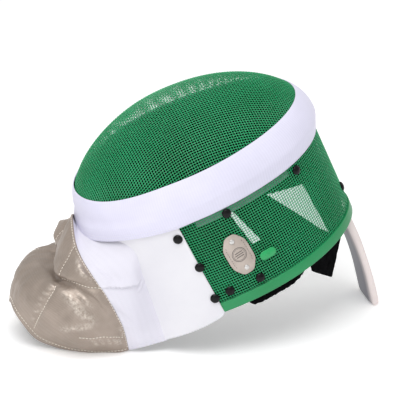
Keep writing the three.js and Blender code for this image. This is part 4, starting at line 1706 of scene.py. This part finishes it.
@dataclass
class Lining:
    """Foam pads and sewn tapes inside the wall.

    The window is the (degrees, level in millimetres) of the four corners of a pale, glowing piece between the
    pads, which paints the daylight that shows through there.
    The rear edge of a cheek pad hangs lower from the first pair of hang angles to the second, in degrees.
    """

    standoff: float = -4.8 * MM
    tape_room: float = 2.0 * MM
    hang_from: Pair = (66, 84)
    hang_to: Pair = (100.5, 104)
    tape_ends: Pair = (-101.0, -50.0)
    window: Sequence[Pair] = ((-65.5, -14), (-45.5, -31), (-46.5, -91), (-42.5, -102))

    def pad(self, name: str, degrees: Pair, levels: Pair, thickness: float, drop: float, lean: float,
            node: str) -> None:
        """One crowned pad with an uneven pile edge.

        Args:
            name: the piece's name.
            degrees: its two ends round the wall.
            levels: its rear and front levels, in millimetres.
            thickness: in millimetres.
            drop: how far its rear edge drops near its chin end, in millimetres.
            lean: how much further its rear edge reaches towards the crown, in degrees.
            node: CAD node that it stands for.
        """
        chin_end = 0 if abs(degrees[0]) > abs(degrees[1]) else 1
        around = np.abs(degrees[0] + (degrees[1] - degrees[0]) * np.linspace(0, 1, 150))[:, None]
        s, t = np.meshgrid(np.linspace(0, 1, 150), np.linspace(0, 1, 70), indexing="ij")
        further = -math.copysign(lean, degrees[0]) * np.abs(s - chin_end) * (1 - t)
        angle = np.radians(degrees[0] + (degrees[1] - degrees[0]) * s + further)
        hang = smooth_step(around, *self.hang_from) * (1 - smooth_step(around, *self.hang_to))
        low = np.maximum(levels[0] - drop * hang, FORM.rear(np.radians(around)) / MM + 2 - drop * hang)
        level = (low + (levels[1] - low) * t) * MM
        edge = np.minimum(np.minimum(s, 1 - s) * 12, np.minimum(t, 1 - t) * 9)
        crown = np.sqrt(np.clip(1 - (1 - np.clip(edge, 0, 1)) ** 2, 0, 1))
        ragged = ripple(FORM.wall(angle, level, 0.0), 5 * MM, 21) * 0.45 * MM
        level = level + ragged * (1 - smooth_step(t, 0, 0.1)) * 1.6
        face = self.standoff - self.tape_room
        outer = FORM.wall(angle, level, face + 0.2 * ragged * crown - (1 - crown) * 2 * MM)
        inner = FORM.wall(angle, level, face - thickness * MM * (0.45 + 0.55 * crown) + 0.4 * ragged)
        shape = Shape()
        shape.slab(outer, inner, 0.8 * MM)
        fitted(shape.build(name, VELOUR), "lining_cloth", node)

    def pale_piece(self, branch: Shape, angle: Points, level: Points, weave: Points) -> None:
        """Adds a pale piece that shows through the wires; its finish glows with painted daylight."""
        outer, inner = (FORM.wall(angle, level, self.standoff + x * MM) for x in (2.2, 1.2))
        branch.slab(outer, inner, 0.2 * MM, weave)

    def shade_cloth_behind_gap(self, side: Side) -> bpy.types.Object:
        """Dark cloth behind the gap between the pads: a painted shade for the inside of the mask there.

        Args:
            side: which side.

        Returns:
            The piece.
        """
        s, t = np.meshgrid(np.linspace(0, 1, 30), np.linspace(0, 1, 30), indexing="ij")
        angle, level = np.radians(-side.value * (-67 + 26 * s)), (-112 + 126 * t) * MM
        outer, inner = (FORM.wall(angle, level, self.standoff - x * MM) for x in (1.5, 1.95))
        shape = Shape()
        shape.slab(outer, inner, 0.1 * MM)
        return fitted(shape.build(f"tape_lining_{side.name.lower()}", VELOUR), "tape_cloth")

    def seam_tape(self, side: Side) -> Shape:
        """Grey tape sewn inside the wall just below the seam.

        Args:
            side: which side.

        Returns:
            Its mesh, not yet built.
        """
        ends = sorted(-side.value * x for x in self.tape_ends)
        s, t = np.meshgrid(np.linspace(0, 1, 90), np.linspace(0, 1, 8), indexing="ij")
        angle = np.radians(ends[0] + (ends[1] - ends[0]) * s)
        level = (-12 + 10 * t) * MM
        wave = ripple(FORM.wall(angle, level, 0.0), 30 * MM, 4) * 0.2 * MM
        outer = FORM.wall(angle, level, self.standoff + wave)
        inner = FORM.wall(angle, level, self.standoff - 1.4 * MM + wave)
        shape = Shape()
        shape.slab(outer, inner, 0.3 * MM, np.stack([s * 0.1, t * 0.01, 0 * s], -1))
        return shape

    def pale_strip(self, branch: Shape, side: Side) -> None:
        """Adds the narrow strip that runs back from the tape.

        Args:
            branch: mesh to add to.
            side: which side.
        """
        s, t = np.meshgrid(np.linspace(0, 1, 30), np.linspace(-1, 1, 6), indexing="ij")
        angle = np.radians(-side.value * (-83.9 + 5.2 * s + t * (0.9 + 1.0 * s)))
        level = (-11 - 46 * s) * MM
        self.pale_piece(branch, angle, level, np.stack([s * 0.046, t * 0.003, 0 * s], -1))

    def painted_daylight_window(self, branch: Shape, side: Side) -> None:
        """Adds the pale piece that fills the window between the pads, glowing as painted daylight.

        Args:
            branch: mesh to add to.
            side: which side.
        """
        corners = np.array(self.window) * [-side.value, 1]
        s, t = np.meshgrid(np.linspace(0, 1, 30), np.linspace(0, 1, 30), indexing="ij")
        s, t = s[..., None], t[..., None]
        near = corners[0] * (1 - s) + corners[1] * s
        far = corners[2] * (1 - s) + corners[3] * s
        spot = near * (1 - t) + far * t
        angle, level = np.radians(spot[..., 0]), spot[..., 1] * MM
        self.pale_piece(branch, angle, level, np.concatenate([s * 0.046, t * 0.08, 0 * s], -1))

    def tape(self, side: Side) -> None:
        """Makes the tape, its pale pieces, which glow with painted daylight, and the dark cloth behind them,
        which paints shade.

        Args:
            side: which side.
        """
        shape, branch = self.seam_tape(side), Shape()
        self.pale_strip(branch, side)
        self.painted_daylight_window(branch, side)
        name = side.name.lower()
        piece = fitted(shape.build(f"tape_{name}", TAPE), "tape_cloth", f"seam_tape_{name}")
        # pale pieces that glow: painted daylight between the pads
        second = fitted(branch.build(f"tape_branch_{name}", PAINTED_DAYLIGHT_TAPE), "tape_cloth")
        # dark sheet behind the gap: painted shade
        shade_sheet = self.shade_cloth_behind_gap(side)

    def build(self) -> None:
        """Makes the pads and tapes."""
        self.pad("cheek_pad_left", (-172, -57), (-114, 15), 8, 15, 17, "side_pad_left")
        self.pad("cheek_pad_right", (57, 172), (-114, 15), 8, 15, 17, "side_pad_right")
        self.pad("forehead_pad", (-44, 44), (-113, 15), 9, 0, 0, "crown_pad")
        for side in Side:
            self.tape(side)


@dataclass
class StrapEnds:
    """Hook-and-loop strap ends that hang inside the rear edge near the crown."""

    wall: float = 2.6 * MM
    lengths: dict[Side, float] = field(default_factory=lambda: {Side.LEFT: 1.0, Side.RIGHT: 0.3})

    def build(self) -> None:
        """Makes both strap ends; the right one is turned up, so it shows short."""
        upper = FORM.rest([(119, 75, -82), (168, 47, -62)])
        lower = FORM.rest([(124, 75, -101), (154, 52, -121)])
        s, t = np.meshgrid(np.linspace(0, 1, 30), np.linspace(0, 1, 36), indexing="ij")
        for side in Side:
            top = upper[0] + (upper[1] - upper[0]) * s[..., None]
            base = lower[0] + (lower[1] - lower[0]) * s[..., None]
            length = self.lengths[side]
            points = top + (base - top) * length * t[..., None]
            points = points * [1, side.value, 1]
            normals = grid_normals(points) * -side.value
            points = points + normals * (0.25 * MM * ripple(points, 12 * MM, 9))[..., None]
            shape = Shape()
            shape.slab(points, points - normals * self.wall, 0.9 * MM)
            name = side.name.lower()
            piece = fitted(shape.build(f"strap_{name}", HOOK_TAPE), "strap_cloth", f"strap_end_{name}")


# ------------------------------------------------------------------ studio


@dataclass(frozen=True)
class SoftLight:
    """Square soft light that faces the mask; its place and size are in metres and its power in watts."""

    name: str
    place: tuple[float, float, float]
    size: float
    power: float
    target: tuple[float, float, float] = (0, 0, 0.1)

    def build(self) -> None:
        """Makes the light."""
        data = bpy.data.lights.new(self.name, "AREA")
        data.size = self.size
        data.energy = self.power
        lamp = bpy.data.objects.new(self.name, data)
        lamp.location = self.place
        facing = Vector(self.place) - Vector(self.target)
        lamp.rotation_euler = facing.to_track_quat("Z", "Y").to_euler()
        bpy.context.scene.collection.objects.link(lamp)


LIGHTS = (
    SoftLight("key_overhead", (-0.5, -0.7, 1.9), 1.4, 24),
    SoftLight("fill_low_front", (-0.9, -1.9, 0.45), 1.2, 2.5),
    SoftLight("rim_right", (1.9, 0.8, 1.3), 1.2, 3),
)


@dataclass
class Studio:
    """Pale sweep, soft lights and the camera."""

    azimuth: float = -15.0
    elevation: float = 23.0
    distance: float = 3.5
    aim_right: float = 0.0191
    aim_up: float = -0.03596
    lens_mm: float = 261.8654
    sensor_mm: float = 36.0
    floor_size: float = 20.0
    surround: float = 0.62

    def camera(self) -> None:
        """Makes the scene's camera, far off with a long lens."""
        a, e = math.radians(self.azimuth), math.radians(self.elevation)
        back = Vector((math.sin(a) * math.cos(e), -math.cos(a) * math.cos(e), math.sin(e)))
        right = Vector((math.cos(a), math.sin(a), 0))
        up = back.cross(right)
        data = bpy.data.cameras.new("camera")
        data.sensor_width = self.sensor_mm
        data.lens = self.lens_mm
        data.clip_end = 100
        eye = Vector(FORM.origin) + right * self.aim_right + up * self.aim_up + back * self.distance
        camera = bpy.data.objects.new("camera", data)
        camera.matrix_world = Matrix.Translation(eye) @ Matrix((right, up, back)).transposed().to_4x4()
        bpy.context.scene.collection.objects.link(camera)
        bpy.context.scene.camera = camera

    def floor(self) -> None:
        """Pale floor, well beyond the view."""
        work = bmesh.new()
        bmesh.ops.create_grid(work, x_segments=8, y_segments=8, size=self.floor_size)
        mesh = bpy.data.meshes.new("floor")
        work.to_mesh(mesh)
        work.free()
        mesh.materials.append(SWEEP.material())
        floor = bpy.data.objects.new("floor", mesh)
        bpy.context.scene.collection.objects.link(floor)

    def build(self) -> None:
        """Makes the camera, floor, lights and surrounding white."""
        self.camera()
        self.floor()
        for light in LIGHTS:
            light.build()
        world = bpy.data.worlds.new("white_studio")
        world.use_nodes = True
        background = world.node_tree.nodes["Background"]
        background.inputs["Color"].default_value = (1, 1, 1, 1)
        background.inputs["Strength"].default_value = self.surround
        bpy.context.scene.world = world
        bpy.context.scene.view_settings.view_transform = "Standard"
        LOG.info("studio ready")


def main() -> None:
    """Builds the studio and then each sub-assembly."""
    logging.basicConfig(level=logging.INFO, format="%(message)s")
    Studio().build()
    WireFace().build()
    WireWall().build()
    CoverBand().build()
    RearTrim().build()
    SidePanels().build()
    Bib().build()
    ConductiveBib().build()
    Tongue().build()
    Studs().build()
    RatingPlate().build()
    SizeTag().build()
    Lining().build()
    StrapEnds().build()


if __name__ == "__main__":
    main()
